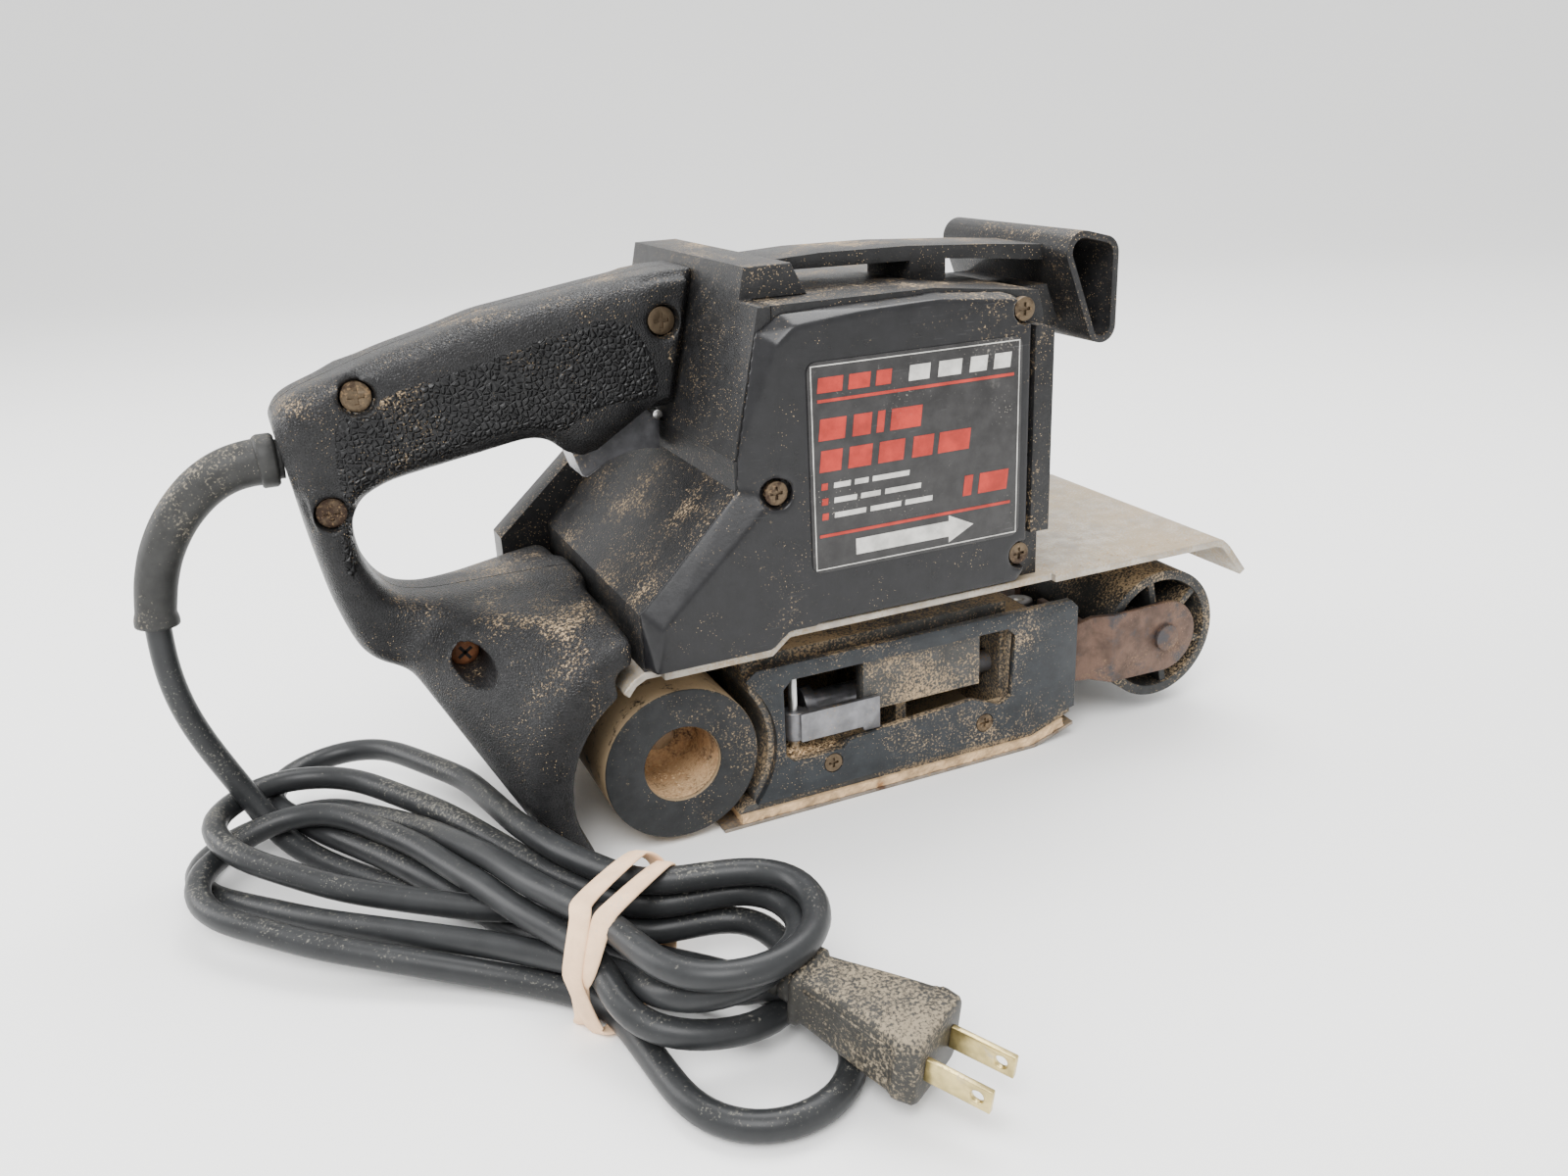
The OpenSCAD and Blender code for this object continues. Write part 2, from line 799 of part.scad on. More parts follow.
module hood_flare(y_root, y_flange) {
    hull() {
        slab(hood_root, y_root - 0.5, y_root + 0.5);
        slab(hood_flange, y_flange - 0.75, y_flange + 0.75);
    }
}

// Room under the hood for the drive roller and the deck's rear edge
module under_hood() {
    rod_y(drive_x, drive_z, hood_bore, -60, 70);
    box(-92.5, -70, -59, 69, 50, 66.5);
}

module handle_right() {
    color("#232324")
    difference() {
        union() {
            handle_half();
            hood_flare(handle_near + 4.4, housing_right - 0.2);
        }
        under_hood();
        for (p = screw_posts) {
            rod_y(p[0], p[1], 2.1, handle_near - 10, handle_y + 1);
            rod_y(p[0], p[1], 5.2, handle_near - 30, handle_near + 6);
        }
    }
}

module handle_left() {
    color("#232324")
    difference() {
        union() {
            translate([0, 2 * handle_y, 0]) mirror([0, 1, 0]) handle_half();
            hood_flare(handle_far - 4.4, housing_left - 1);
        }
        under_hood();
        for (p = screw_posts)
            rod_y(p[0], p[1], 2.1, handle_y - 1, handle_y + 11);
        // Bore of the lock-on button
        rod_y(-95, 146, 4 + run_gap, handle_y, handle_far + 1);
    }
}

module handle_screws() {
    color("#5a4630")
        for (p = screw_posts)
            screw_y(p[0], p[1], handle_near + 3.4, handle_y + 11, 4.4, 2.6, 2.1);
}

// The trigger, hinged at its front end
module trigger() {
    color("#1b1b1c")
    difference() {
        slab([
            [-54.4, 127], [-57, 131], [-83.5, 131], [-84, 119], [-81.6, 111.6], [-80.6, 110.6],
            [-79.4, 110.8], [-73, 114.4], [-66, 116.6], [-60, 117], [-55, 116.4]
        ], handle_y - 8.3, handle_y + 8.3);
        rod_y(trigger_x, trigger_z, 1.5 + run_gap, 0, 40);
    }
}

module trigger_pin() {
    color("#9a9a98")
        rod_y(trigger_x, trigger_z, 1.5, handle_near + 2, handle_far - 2);
}

module trigger_spring() {
    turns = 4;
    steps = turns * 10;
    coil = [
        for (i = [0:steps])
            [
                -76 + 2.4 * cos(360 * turns * i / steps),
                handle_y + 2.4 * sin(360 * turns * i / steps),
                131.5 + 6.3 * i / steps
            ]
    ];
    color("#a7a39a") swept_tube(coil, same(0.45, len(coil)), [0, 0, 1], 6);
}

module switch_body() {
    color("#3a3a3c")
        box(-84, -60, handle_y - 9.5, handle_y + 9.5, 138.4, 156);
}

// The lock-on button in the handle's left half
module lock_button() {
    color("#1b1b1c") {
        rod_y(-95, 146, 4, handle_far - 4, handle_far + 2.6);
        rod_y(-95, 146, 5.4, handle_far - 6, handle_far - 3.4);
    }
}

// Two bars that grip the cord's jacket
module cord_clamp() {
    color("#4a4a4c")
    difference() {
        box(-158, -151, handle_y - 8, handle_y + 8, 121.5, 133);
        rod_x(handle_y, 128, cord_d / 2, -159, -150);
    }
}

wire_route = [
    [-150, 0, 128], [-147, 0, 128], [-142, 0, 130.5], [-136, 0, 134.5], [-129, 0, 138],
    [-121, 0, 139.6], [-88, 0, 139.6], [-84, 0, 139.6]
];

module lead_wires() {
    color("#8c2f2a")
        for (y = [handle_y - 2.2, handle_y + 2.2])
            translate([0, y, 0]) swept_tube(wire_route, same(1.3, len(wire_route)), [0, 1, 0], 8);
}

// --- Strain relief and cord -------------------------------------------------

relief_route = [
    [-176, 20, 128], [-181, 20, 127.6], [-187, 20, 125.6], [-193, 20, 122], [-198.5, 20, 117],
    [-203, 20, 111], [-206.5, 20, 104.5], [-209, 20, 97.5], [-210.5, 20, 91], [-211, 20, 88],
    [-211.4, 20, 84]
];
relief_radii = [6.9, 6.8, 6.7, 6.5, 6.3, 6.1, 5.9, 5.7, 5.6, 6.2, 6.2];

module strain_relief() {
    color("#4b4a47") {
        rod_x(handle_y, 128, cord_d / 2, -160.6, -150);
        rod_x(handle_y, 128, 5.95, -170.8, -160.5);
        rod_x(handle_y, 128, 8, -176.2, -170.7);
        swept_tube(relief_route, relief_radii, [0, 1, 0], 16);
    }
}

// The hank's own frame: u along it, v across it, origin under its tie
hank_at = [-112, -100, 0];
hank_turn = -52;
hank_low = 0.6;
tie_near = -16.5;
tie_far = 17.5;

lead_route = [
    [-211.4, 20, 84], [-212, 20, 74], [-211.4, 20, 64], [-209.5, 20, 54], [-206.5, 20, 44.5],
    [-202.8, 20, 35.5], [-199, 19.4, 27], [-195.6, 17.8, 19.5], [-192.4, 14.6, 13], [-188.6, 9.4, 8.5]
];

module cord_lead() {
    color("#4a4a48") swept_tube(lead_route, same(cord_d / 2, len(lead_route)), [0.7, 0.7, 0.05], 8);
}

module hank_lobe(end, end_r, neck_r) {
    hull() {
        translate(end) circle(r = end_r, $fn = 48);
        translate([-12, 1]) circle(r = neck_r, $fn = 48);
    }
}

// The tied hank as one closed solid, with a groove for its tie
module cord_hank() {
    color("#4a4a48")
    translate(hank_at) rotate([0, 0, hank_turn])
    difference() {
        translate([0, 0, hank_low]) {
            linear_extrude(hank_h) hank_lobe([-118, -9], 24, 16.5);
            linear_extrude(hank_h) hank_lobe([20, 2], 26, 16.5);
            linear_extrude(18) hank_lobe([-138, 35], 19, 15);
        }
        difference() {
            box(-6, 6, -60, 60, -1, 60);
            box(-7, 7, tie_near, tie_far, 1.8, hank_low + hank_h - 1.2);
        }
    }
}

// The rubber band round the middle of the hank
module cord_tie() {
    color("#e8c79c")
    translate(hank_at) rotate([0, 0, hank_turn])
    difference() {
        box(-5.8, 5.8, tie_near - 1.2, tie_far + 1.2, 0.6, hank_low + hank_h);
        box(-7, 7, tie_near, tie_far, 1.8, hank_low + hank_h - 1.2);
    }
}

// The turn that has slipped out of the hank and runs under the plug
loop_middle = [-93, -145.5];
loop_r = 22.4;
loop_z = 4.4;
loop_route = concat(
    [[-117.5, -123, loop_z], [-116.5, -134, loop_z]],
    [for (a = [180:15:375]) [loop_middle[0] + loop_r * cos(a), loop_middle[1] + loop_r * sin(a), loop_z]],
    [[-75, -131, loop_z], [-82, -122, loop_z]]
);

module cord_loop() {
    color("#4a4a48") swept_tube(loop_route, same(cord_d / 2, len(loop_route)), [0, 0, 1], 8);
}

plug_at = [-80, -141, 19];
plug_turn = -58;
plug_dip = 7;

module in_plug_frame() {
    translate(plug_at) rotate([0, 0, plug_turn]) rotate([0, plug_dip, 0]) children();
}

// The moulded two-blade plug, resting on the loose turn
module plug_body() {
    color("#5b5347")
    in_plug_frame() {
        translate([-9, 0, 0]) rotate([0, 90, 0]) cylinder(r = 5.6, h = 10);
        translate([0, -7.5, -8]) cube([3, 15, 16]);
        hull() {
            translate([2.5, -6.5, -7]) cube([1, 13, 14]);
            translate([30, -10.5, -9]) cube([1, 21, 18]);
        }
        hull() {
            translate([30.5, -12, -8.2]) cube([1, 24, 16.4]);
            translate([32, -11, -9.5]) cube([5, 22, 19]);
        }
    }
}

module plug_blades() {
    color("#b59a5b")
    in_plug_frame()
        for (side = [-1, 1])
            difference() {
                translate([37, side * 6.35 - 0.75, -3.15]) cube([16.5, 1.5, 6.3]);
                translate([50, side * 6.35 + 2, 0]) rotate([90, 0, 0]) cylinder(r = 1.6, h = 4);
            }
}

motor_housing();
rear_block();
side_cover();
label_plate();
belt_cover();
front_handle();
deck_plate();
side_frame();
handle_right();
handle_left();
trigger();
trigger_pin();
trigger_spring();
switch_body();
lock_button();
cord_clamp();
lead_wires();
strain_relief();
handle_screws();
cover_screws();
platen_screws();
stator_core();
field_coils();
armature_core();
armature_shaft();
commutator();
cooling_fan();
motor_bearings();
motor_end_plate();
brush_holders();
carbon_brushes();
small_pulley();
large_pulley();
timing_belt();
drive_shaft();
drive_roller_core();
drive_roller_tread();
drive_bearings();
platen_frame();
platen_bracket();
cork_pad();
shoe_plate();
tension_lever();
lever_pin();
slide_carriage();
tension_spring();
yoke();
yoke_pin();
idler_wheel();
idler_axle();
tracking_knob();
cord_lead();
cord_hank();
cord_loop();
cord_tie();
plug_body();
plug_blades();
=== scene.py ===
"""Looks of the handheld belt sander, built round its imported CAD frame."""
import json
import math
import random

import bmesh
import bpy
import numpy as np
from mathutils import Matrix, Vector
from mathutils.bvhtree import BVHTree


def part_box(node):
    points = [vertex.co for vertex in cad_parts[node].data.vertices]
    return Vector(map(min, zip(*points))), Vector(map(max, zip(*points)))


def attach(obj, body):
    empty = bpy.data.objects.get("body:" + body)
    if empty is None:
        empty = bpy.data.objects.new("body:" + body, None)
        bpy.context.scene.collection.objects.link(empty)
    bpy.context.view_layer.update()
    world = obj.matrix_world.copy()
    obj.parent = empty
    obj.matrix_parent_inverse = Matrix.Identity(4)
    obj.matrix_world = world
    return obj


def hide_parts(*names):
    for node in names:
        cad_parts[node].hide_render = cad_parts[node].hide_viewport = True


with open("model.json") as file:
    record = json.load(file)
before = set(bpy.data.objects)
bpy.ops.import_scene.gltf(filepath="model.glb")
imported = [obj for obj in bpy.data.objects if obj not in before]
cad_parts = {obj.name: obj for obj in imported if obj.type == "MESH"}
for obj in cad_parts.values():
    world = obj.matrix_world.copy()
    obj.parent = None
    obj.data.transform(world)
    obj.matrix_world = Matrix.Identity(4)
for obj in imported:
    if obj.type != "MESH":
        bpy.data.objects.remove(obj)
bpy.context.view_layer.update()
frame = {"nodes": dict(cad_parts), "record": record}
MM = 0.001
scene = bpy.context.scene

# --- Camera ----------------------------------------------------------------

YAW, PITCH, ROLL = (math.radians(a) for a in (-23.9, 20.79, -2.54))
CAMERA_AT = (-0.1842, -0.3751, 0.2196)
forward = Vector((-math.sin(YAW) * math.cos(PITCH), math.cos(YAW) * math.cos(PITCH), -math.sin(PITCH)))
level = Vector((math.cos(YAW), math.sin(YAW), 0))
above = level.cross(forward)
right = level * math.cos(ROLL) + above * math.sin(ROLL)
up = above * math.cos(ROLL) - level * math.sin(ROLL)
cam_data = bpy.data.cameras.new("camera")
cam_data.sensor_width = 36
cam_data.lens = 29.25
cam_data.clip_start = 0.01
camera = bpy.data.objects.new("camera", cam_data)
camera.matrix_world = Matrix((
    (right.x, up.x, -forward.x, CAMERA_AT[0]),
    (right.y, up.y, -forward.y, CAMERA_AT[1]),
    (right.z, up.z, -forward.z, CAMERA_AT[2]),
    (0, 0, 0, 1)))
scene.collection.objects.link(camera)
scene.camera = camera

# --- Materials -------------------------------------------------------------


class Nodes:
    """A short way to write one material's node tree."""

    def __init__(self, name):
        self.mat = bpy.data.materials.new(name)
        self.mat.use_nodes = True
        self.tree = self.mat.node_tree
        self.bsdf = self.tree.nodes["Principled BSDF"]
        self.place = self.add("ShaderNodeTexCoord").outputs["Object"]
        self.normal = self.add("ShaderNodeNewGeometry").outputs["Normal"]

    def add(self, kind):
        return self.tree.nodes.new(kind)

    def put(self, socket, value):
        if isinstance(value, bpy.types.NodeSocket):
            self.tree.links.new(value, socket)
        else:
            socket.default_value = value

    def math(self, op, a, b=0.0, clamp=False):
        n = self.add("ShaderNodeMath")
        n.operation = op
        n.use_clamp = clamp
        self.put(n.inputs[0], a)
        self.put(n.inputs[1], b)
        return n.outputs[0]

    def noise(self, scale, detail=4.0, rough=0.55, stretch=(1, 1, 1), shift=0.0):
        m = self.add("ShaderNodeMapping")
        m.inputs["Scale"].default_value = stretch
        m.inputs["Location"].default_value = (shift, shift * 0.7, shift * 1.3)
        self.put(m.inputs["Vector"], self.place)
        n = self.add("ShaderNodeTexNoise")
        n.inputs["Scale"].default_value = scale
        n.inputs["Detail"].default_value = detail
        n.inputs["Roughness"].default_value = rough
        self.put(n.inputs["Vector"], m.outputs[0])
        return n.outputs["Fac"]

    def cells(self, scale, feature="DISTANCE_TO_EDGE"):
        n = self.add("ShaderNodeTexVoronoi")
        n.feature = feature
        n.inputs["Scale"].default_value = scale
        self.put(n.inputs["Vector"], self.place)
        return n.outputs["Distance"]

    def ramp(self, fac, low, high, to_low=0.0, to_high=1.0):
        n = self.add("ShaderNodeMapRange")
        n.interpolation_type = "SMOOTHSTEP"
        self.put(n.inputs["Value"], fac)
        n.inputs["From Min"].default_value = low
        n.inputs["From Max"].default_value = high
        n.inputs["To Min"].default_value = to_low
        n.inputs["To Max"].default_value = to_high
        return n.outputs[0]

    def mix(self, fac, a, b):
        n = self.add("ShaderNodeMix")
        n.data_type = "RGBA"
        self.put(n.inputs[0], fac)
        for socket, value in ((n.inputs[6], a), (n.inputs[7], b)):
            if isinstance(value, tuple):
                value = (*value, 1.0)
            self.put(socket, value)
        return n.outputs[2]

    def upward(self):
        n = self.add("ShaderNodeSeparateXYZ")
        self.put(n.inputs[0], self.normal)
        return n.outputs[2]

    def bump(self, height, strength, distance, under=None):
        n = self.add("ShaderNodeBump")
        n.inputs["Strength"].default_value = strength
        n.inputs["Distance"].default_value = distance
        self.put(n.inputs["Height"], height)
        if under is not None:
            self.put(n.inputs["Normal"], under)
        return n.outputs[0]


SAWDUST = (0.43, 0.31, 0.18)


def surface(name, base, rough=0.5, metal=0.0, dust=0.25, dust_col=SAWDUST, specks=0.5, vary=0.25,
            grain=("noise", 900, 0.25), scratches=0.25, second=None, coat=0.0, patch=32, brushed=None,
            relief=0.0003, rim_dust=0.0):
    """A worn, dusty surface: varied base, fine grain, scratches, settled dust and loose specks.

    second is a colour and how much noise it takes to show; grain is its kind, scale and depth;
    patch is the scale of the broad variation; rim_dust cakes faces that don't look along Y.
    """
    k = Nodes(name)
    broad = k.noise(patch, 6, 0.62)
    mid = k.noise(patch * 5, 5, 0.6, shift=3.1)
    fine = k.noise(1200, 3, 0.6, shift=7.7)
    dark = tuple(c * (1 - vary) for c in base)
    light = tuple(min(1.0, c * (1 + vary)) for c in base)
    colour = k.mix(k.ramp(mid, 0.3, 0.7), dark, light)
    if second:
        under, start = second
        shown = k.ramp(k.noise(patch * 2.2, 8, 0.7, shift=1.7), start, start + 0.12)
        colour = k.mix(shown, colour, under)
    roughness = k.math("ADD", rough - 0.09, k.math("MULTIPLY", mid, 0.18))
    if scratches:
        line = k.noise(120, 2, 0.5, stretch=(1, 1, 14), shift=5.0)
        mark = k.math("MULTIPLY", k.ramp(line, 0.66, 0.72), k.ramp(broad, 0.45, 0.6))
        mark = k.math("MULTIPLY", mark, scratches)
        colour = k.mix(mark, colour, tuple(min(1.0, c * 1.5 + 0.05) for c in base))
        roughness = k.math("ADD", roughness, k.math("MULTIPLY", mark, 0.2))
    if dust:
        lying = k.math("MULTIPLY", k.ramp(k.upward(), 0.1, 0.95), 0.12)
        broken = k.math("MULTIPLY", k.math("SUBTRACT", fine, 0.5), 1.1)
        cover = k.math("ADD", k.math("ADD", broad, lying), broken)
        film = k.ramp(cover, 0.78 - dust * 0.55, 1.0 - dust * 0.45)
        colour = k.mix(k.math("MULTIPLY", film, 0.8), colour, dust_col)
        roughness = k.math("ADD", roughness, k.math("MULTIPLY", film, 0.35), clamp=True)
    if rim_dust:
        axis = k.add("ShaderNodeSeparateXYZ")
        k.put(axis.inputs[0], k.normal)
        flank = k.ramp(k.math("ABSOLUTE", axis.outputs[1]), 0.6, 0.3)
        clumps = k.ramp(k.math("ADD", mid, k.math("MULTIPLY", fine, 0.3)), 0.45, 0.62)
        caked = k.math("MULTIPLY", clumps, rim_dust)
        colour = k.mix(k.math("MULTIPLY", flank, caked), colour, dust_col)
    if specks:
        dots = k.ramp(k.cells(1100, "F1"), 0.17, 0.1)
        where = k.ramp(k.noise(patch * 1.6, 5, 0.7, shift=9.3), 0.62 - 0.2 * specks, 0.72 - 0.1 * specks)
        dots = k.math("MULTIPLY", dots, where)
        colour = k.mix(dots, colour, tuple(min(1.0, c * 1.25) for c in dust_col))
    kind, scale, depth = grain
    if kind == "leather":
        height = k.ramp(k.cells(scale), 0.0, 0.3)
    else:
        height = k.noise(scale, 4, 0.6)
    normal = k.bump(height, depth, relief)
    if brushed:
        normal = k.bump(k.noise(900, 2, 0.5, stretch=brushed), 0.12, 0.0002, normal)
    normal = k.bump(broad, 0.12, 0.0015, normal)
    k.put(k.bsdf.inputs["Base Color"], colour)
    k.put(k.bsdf.inputs["Roughness"], roughness)
    k.put(k.bsdf.inputs["Normal"], normal)
    k.bsdf.inputs["Metallic"].default_value = metal
    k.bsdf.inputs["Specular IOR Level"].default_value = 0.5 if metal else 0.25
    k.bsdf.inputs["Coat Weight"].default_value = coat
    k.bsdf.inputs["Coat Roughness"].default_value = 0.25
    return k.mat


M = {
    "housing_plastic": surface("housing_plastic", (0.013, 0.013, 0.0135), 0.42, dust=0.2, specks=1.2,
                               grain=("noise", 1300, 0.6), scratches=0.2, patch=48),
    "cover_plastic": surface("cover_plastic", (0.008, 0.008, 0.009), 0.3, dust=0.12, specks=0.35,
                             grain=("noise", 900, 0.12), scratches=0.3, coat=0.1),
    "grip_plastic": surface("grip_plastic", (0.011, 0.011, 0.0115), 0.36, dust=0.12, specks=0.7,
                            grain=("leather", 1150, 0.45), scratches=0.2, patch=44),
    "label_film": surface("label_film", (0.03, 0.029, 0.029), 0.36, dust=0.16,
                          dust_col=(0.32, 0.29, 0.25), specks=0.3, grain=("noise", 500, 0.06),
                          scratches=0.6, second=((0.08, 0.075, 0.07), 0.62)),
    "deck_metal": surface("deck_metal", (0.36, 0.33, 0.285), 0.46, metal=0.7, dust=0.6,
                          dust_col=(0.42, 0.33, 0.22), specks=0.6, grain=("noise", 600, 0.3),
                          scratches=0.5),
    "frame_paint": surface("frame_paint", (0.05, 0.05, 0.048), 0.55, dust=0.55, specks=0.9),
    "bracket_paint": surface("bracket_paint", (0.02, 0.023, 0.026), 0.34, dust=0.3, specks=0.9,
                             grain=("noise", 500, 0.15), scratches=0.3),
    "casting": surface("casting", (0.09, 0.09, 0.088), 0.6, metal=0.5, dust=0.4, grain=("noise", 700, 0.6)),
    "bright_steel": surface("bright_steel", (0.5, 0.5, 0.49), 0.3, metal=1.0, dust=0.15, specks=0.2,
                            grain=("noise", 600, 0.05)),
    "dull_steel": surface("dull_steel", (0.2, 0.2, 0.21), 0.42, metal=0.85, dust=0.3, specks=0.5,
                          grain=("noise", 600, 0.15)),
    "rusty_steel": surface("rusty_steel", (0.1, 0.06, 0.043), 0.6, metal=0.45, dust=0.3,
                           dust_col=(0.3, 0.2, 0.12), specks=0.6, vary=0.4,
                           second=((0.05, 0.047, 0.05), 0.5), grain=("noise", 800, 0.6)),
    "shoe_steel": surface("shoe_steel", (0.22, 0.19, 0.16), 0.5, metal=0.8, dust=0.4, specks=0.6,
                          second=((0.1, 0.06, 0.04), 0.55)),
    "cork": surface("cork", (0.5, 0.34, 0.19), 0.85, dust=0.25, dust_col=(0.62, 0.46, 0.28), specks=0.4,
                    vary=0.35, second=((0.28, 0.14, 0.06), 0.6), grain=("noise", 700, 1.0),
                    scratches=0),
    "roller_rubber": surface("roller_rubber", (0.018, 0.019, 0.02), 0.5, dust=0.3,
                             dust_col=(0.4, 0.29, 0.17), specks=0.7, grain=("noise", 900, 0.3),
                             scratches=0.1, rim_dust=0.75),
    "roller_metal": surface("roller_metal", (0.34, 0.21, 0.11), 0.75, metal=0.2, dust=0.7,
                            dust_col=(0.55, 0.38, 0.21), specks=0.9, vary=0.4,
                            second=((0.07, 0.045, 0.03), 0.5), grain=("noise", 600, 0.8)),
    "wheel_plastic": surface("wheel_plastic", (0.02, 0.021, 0.021), 0.46, dust=0.42, specks=0.9),
    "lamination": surface("lamination", (0.13, 0.13, 0.14), 0.45, metal=0.9, dust=0.15, brushed=(1, 25, 1)),
    "winding": surface("winding", (0.42, 0.15, 0.05), 0.35, metal=0.7, dust=0.12, brushed=(12, 1, 12)),
    "copper": surface("copper", (0.6, 0.28, 0.15), 0.3, metal=1.0, dust=0.12),
    "carbon": surface("carbon", (0.015, 0.015, 0.015), 0.7, dust=0.1),
    "brass": surface("brass", (0.5, 0.36, 0.14), 0.35, metal=1.0, dust=0.15),
    "cord_jacket": surface("cord_jacket", (0.02, 0.021, 0.022), 0.38, dust=0.15, dust_col=(0.2, 0.19, 0.16),
                           specks=0.1, grain=("noise", 800, 0.1), scratches=0.15, vary=0.15, patch=18),
    "relief_rubber": surface("relief_rubber", (0.026, 0.026, 0.025), 0.5, dust=0.3,
                             dust_col=(0.24, 0.21, 0.16), specks=0.5, grain=("noise", 900, 0.2),
                             scratches=0.1),
    "band_rubber": surface("band_rubber", (0.78, 0.53, 0.33), 0.6, dust=0.2, dust_col=(0.6, 0.5, 0.4),
                           specks=0.2, vary=0.1, scratches=0),
    "plug_plastic": surface("plug_plastic", (0.026, 0.025, 0.022), 0.5, dust=0.5, dust_col=(0.27, 0.22, 0.15),
                            specks=0.8, grain=("noise", 900, 0.3)),
    "blade_brass": surface("blade_brass", (0.56, 0.45, 0.2), 0.34, metal=1.0, dust=0.15, specks=0.3,
                           second=((0.42, 0.38, 0.3), 0.58), scratches=0.6),
    "screw_steel": surface("screw_steel", (0.11, 0.08, 0.05), 0.42, metal=0.8, dust=0.3,
                           dust_col=(0.3, 0.2, 0.11), specks=0.5, second=((0.03, 0.018, 0.012), 0.47)),
    "inner_plastic": surface("inner_plastic", (0.06, 0.06, 0.064), 0.42, dust=0.15),
    "wire_jacket": surface("wire_jacket", (0.35, 0.05, 0.04), 0.4, dust=0.1),
    "belt_rubber": surface("belt_rubber", (0.022, 0.022, 0.022), 0.65, dust=0.3),
}
LEATHER = surface("leather_grain", (0.009, 0.009, 0.0095), 0.33, dust=0.18, specks=0.5,
                  grain=("leather", 560, 1.0), scratches=0.1, relief=0.0005)
PRINT = {
    "pale": surface("print_pale", (0.5, 0.49, 0.46), 0.5, dust=0.15, dust_col=(0.2, 0.19, 0.17), specks=0.2),
    "red": surface("print_red", (0.36, 0.03, 0.02), 0.5, dust=0.15, dust_col=(0.2, 0.15, 0.12), specks=0.2),
}

slot_of = {row["node"]: row["material_slot"] for row in frame["record"]["subparts"]}
for node, ob in frame["nodes"].items():
    ob.data.materials.clear()
    ob.data.materials.append(M[slot_of[node]])

# --- Mesh helpers ----------------------------------------------------------


def mesh_object(name, verts, faces, smooth=True):
    """A new object from points in metres, its faces turned outward."""
    mesh = bpy.data.meshes.new(name)
    mesh.from_pydata([tuple(v) for v in verts], [], [tuple(f) for f in faces])
    bm = bmesh.new()
    bm.from_mesh(mesh)
    bmesh.ops.recalc_face_normals(bm, faces=bm.faces)
    bm.to_mesh(mesh)
    bm.free()
    for p in mesh.polygons:
        p.use_smooth = smooth
    ob = bpy.data.objects.new(name, mesh)
    scene.collection.objects.link(ob)
    return ob


def finish_piece(ob, body, slot, material=None, stands_for=()):
    """Give a piece its material (the slot's own unless one is given), the body it rides, and hide the nodes
    that it stands for.
    """
    ob.data.materials.clear()
    ob.data.materials.append(material or M[slot])
    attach(ob, body)
    if stands_for:
        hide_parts(*stands_for)
    return ob


def round_edges(ob, width, angle=32, segments=2):
    """Bevel every edge sharper than the angle, by a width in mm."""
    weld = ob.modifiers.new("weld", "WELD")
    weld.merge_threshold = 0.00002
    bevel = ob.modifiers.new("bevel", "BEVEL")
    bevel.width = width * MM
    bevel.segments = segments
    bevel.limit_method = "ANGLE"
    bevel.angle_limit = math.radians(angle)
    bevel.use_clamp_overlap = True
    bevel.harden_normals = True
    for p in ob.data.polygons:
        p.use_smooth = True


def stack(name, rings, close_ends=True):
    """A mesh through rings of the same number of points."""
    count = len(rings[0])
    verts = [p for ring in rings for p in ring]
    faces = []
    for i in range(len(rings) - 1):
        here, there = i * count, (i + 1) * count
        for k in range(count):
            following = (k + 1) % count
            faces.append((here + k, here + following, there + following, there + k))
    if close_ends:
        faces.append(tuple(range(count)))
        faces.append(tuple((len(rings) - 1) * count + k for k in range(count)))
    return mesh_object(name, verts, faces)


def tube(name, points, radii, flat=1.0, sides=20, side_hint=(0, 1, 0), closed=False):
    """A tube along points in mm, as flat as said across the hint, which may change from point to point."""
    points = np.array(points, float)
    rings = []
    for i, p in enumerate(points):
        if closed:
            t = points[(i + 1) % len(points)] - points[i - 1]
        else:
            t = points[min(i + 1, len(points) - 1)] - points[max(i - 1, 0)]
        t = t / np.linalg.norm(t)
        hint = side_hint(i) if callable(side_hint) else side_hint
        s = np.cross(t, np.array(hint, float))
        s = s / np.linalg.norm(s)
        n = np.cross(s, t)
        r = radii[i] if hasattr(radii, "__len__") else radii
        around = (2 * math.pi * k / sides for k in range(sides))
        rings.append([(p + r * (flat * s * math.cos(a) + n * math.sin(a))) * MM for a in around])
    if closed:
        rings.append(rings[0])
    return stack(name, rings, close_ends=not closed)


def prism(name, outline, y0, y1):
    """An outline in X and Z, in mm, extruded along Y."""
    n = len(outline)
    verts = [(x * MM, y * MM, z * MM) for y in (y0, y1) for x, z in outline]
    faces = [tuple(range(n)), tuple(range(2 * n - 1, n - 1, -1))]
    faces += [(k, (k + 1) % n, n + (k + 1) % n, n + k) for k in range(n)]
    return mesh_object(name, verts, faces, smooth=False)


def rect(x0, x1, z0, z1):
    return [(x0, z0), (x1, z0), (x1, z1), (x0, z1)]


def catmull(points, per_span):
    """A smooth curve through points."""
    pts = np.array(points, float)
    pts = np.vstack([2 * pts[0] - pts[1], pts, 2 * pts[-1] - pts[-2]])
    out = []
    for i in range(1, len(pts) - 2):
        a, b, c, d = pts[i - 1:i + 3]
        for s in range(per_span):
            t = s / per_span
            out.append(0.5 * (2 * b + (c - a) * t + (2 * a - 5 * b + 4 * c - d) * t * t
                              + (3 * b - a - 3 * c + d) * t ** 3))
    out.append(pts[-2])
    return np.array(out)


# --- Cord ------------------------------------------------------------------

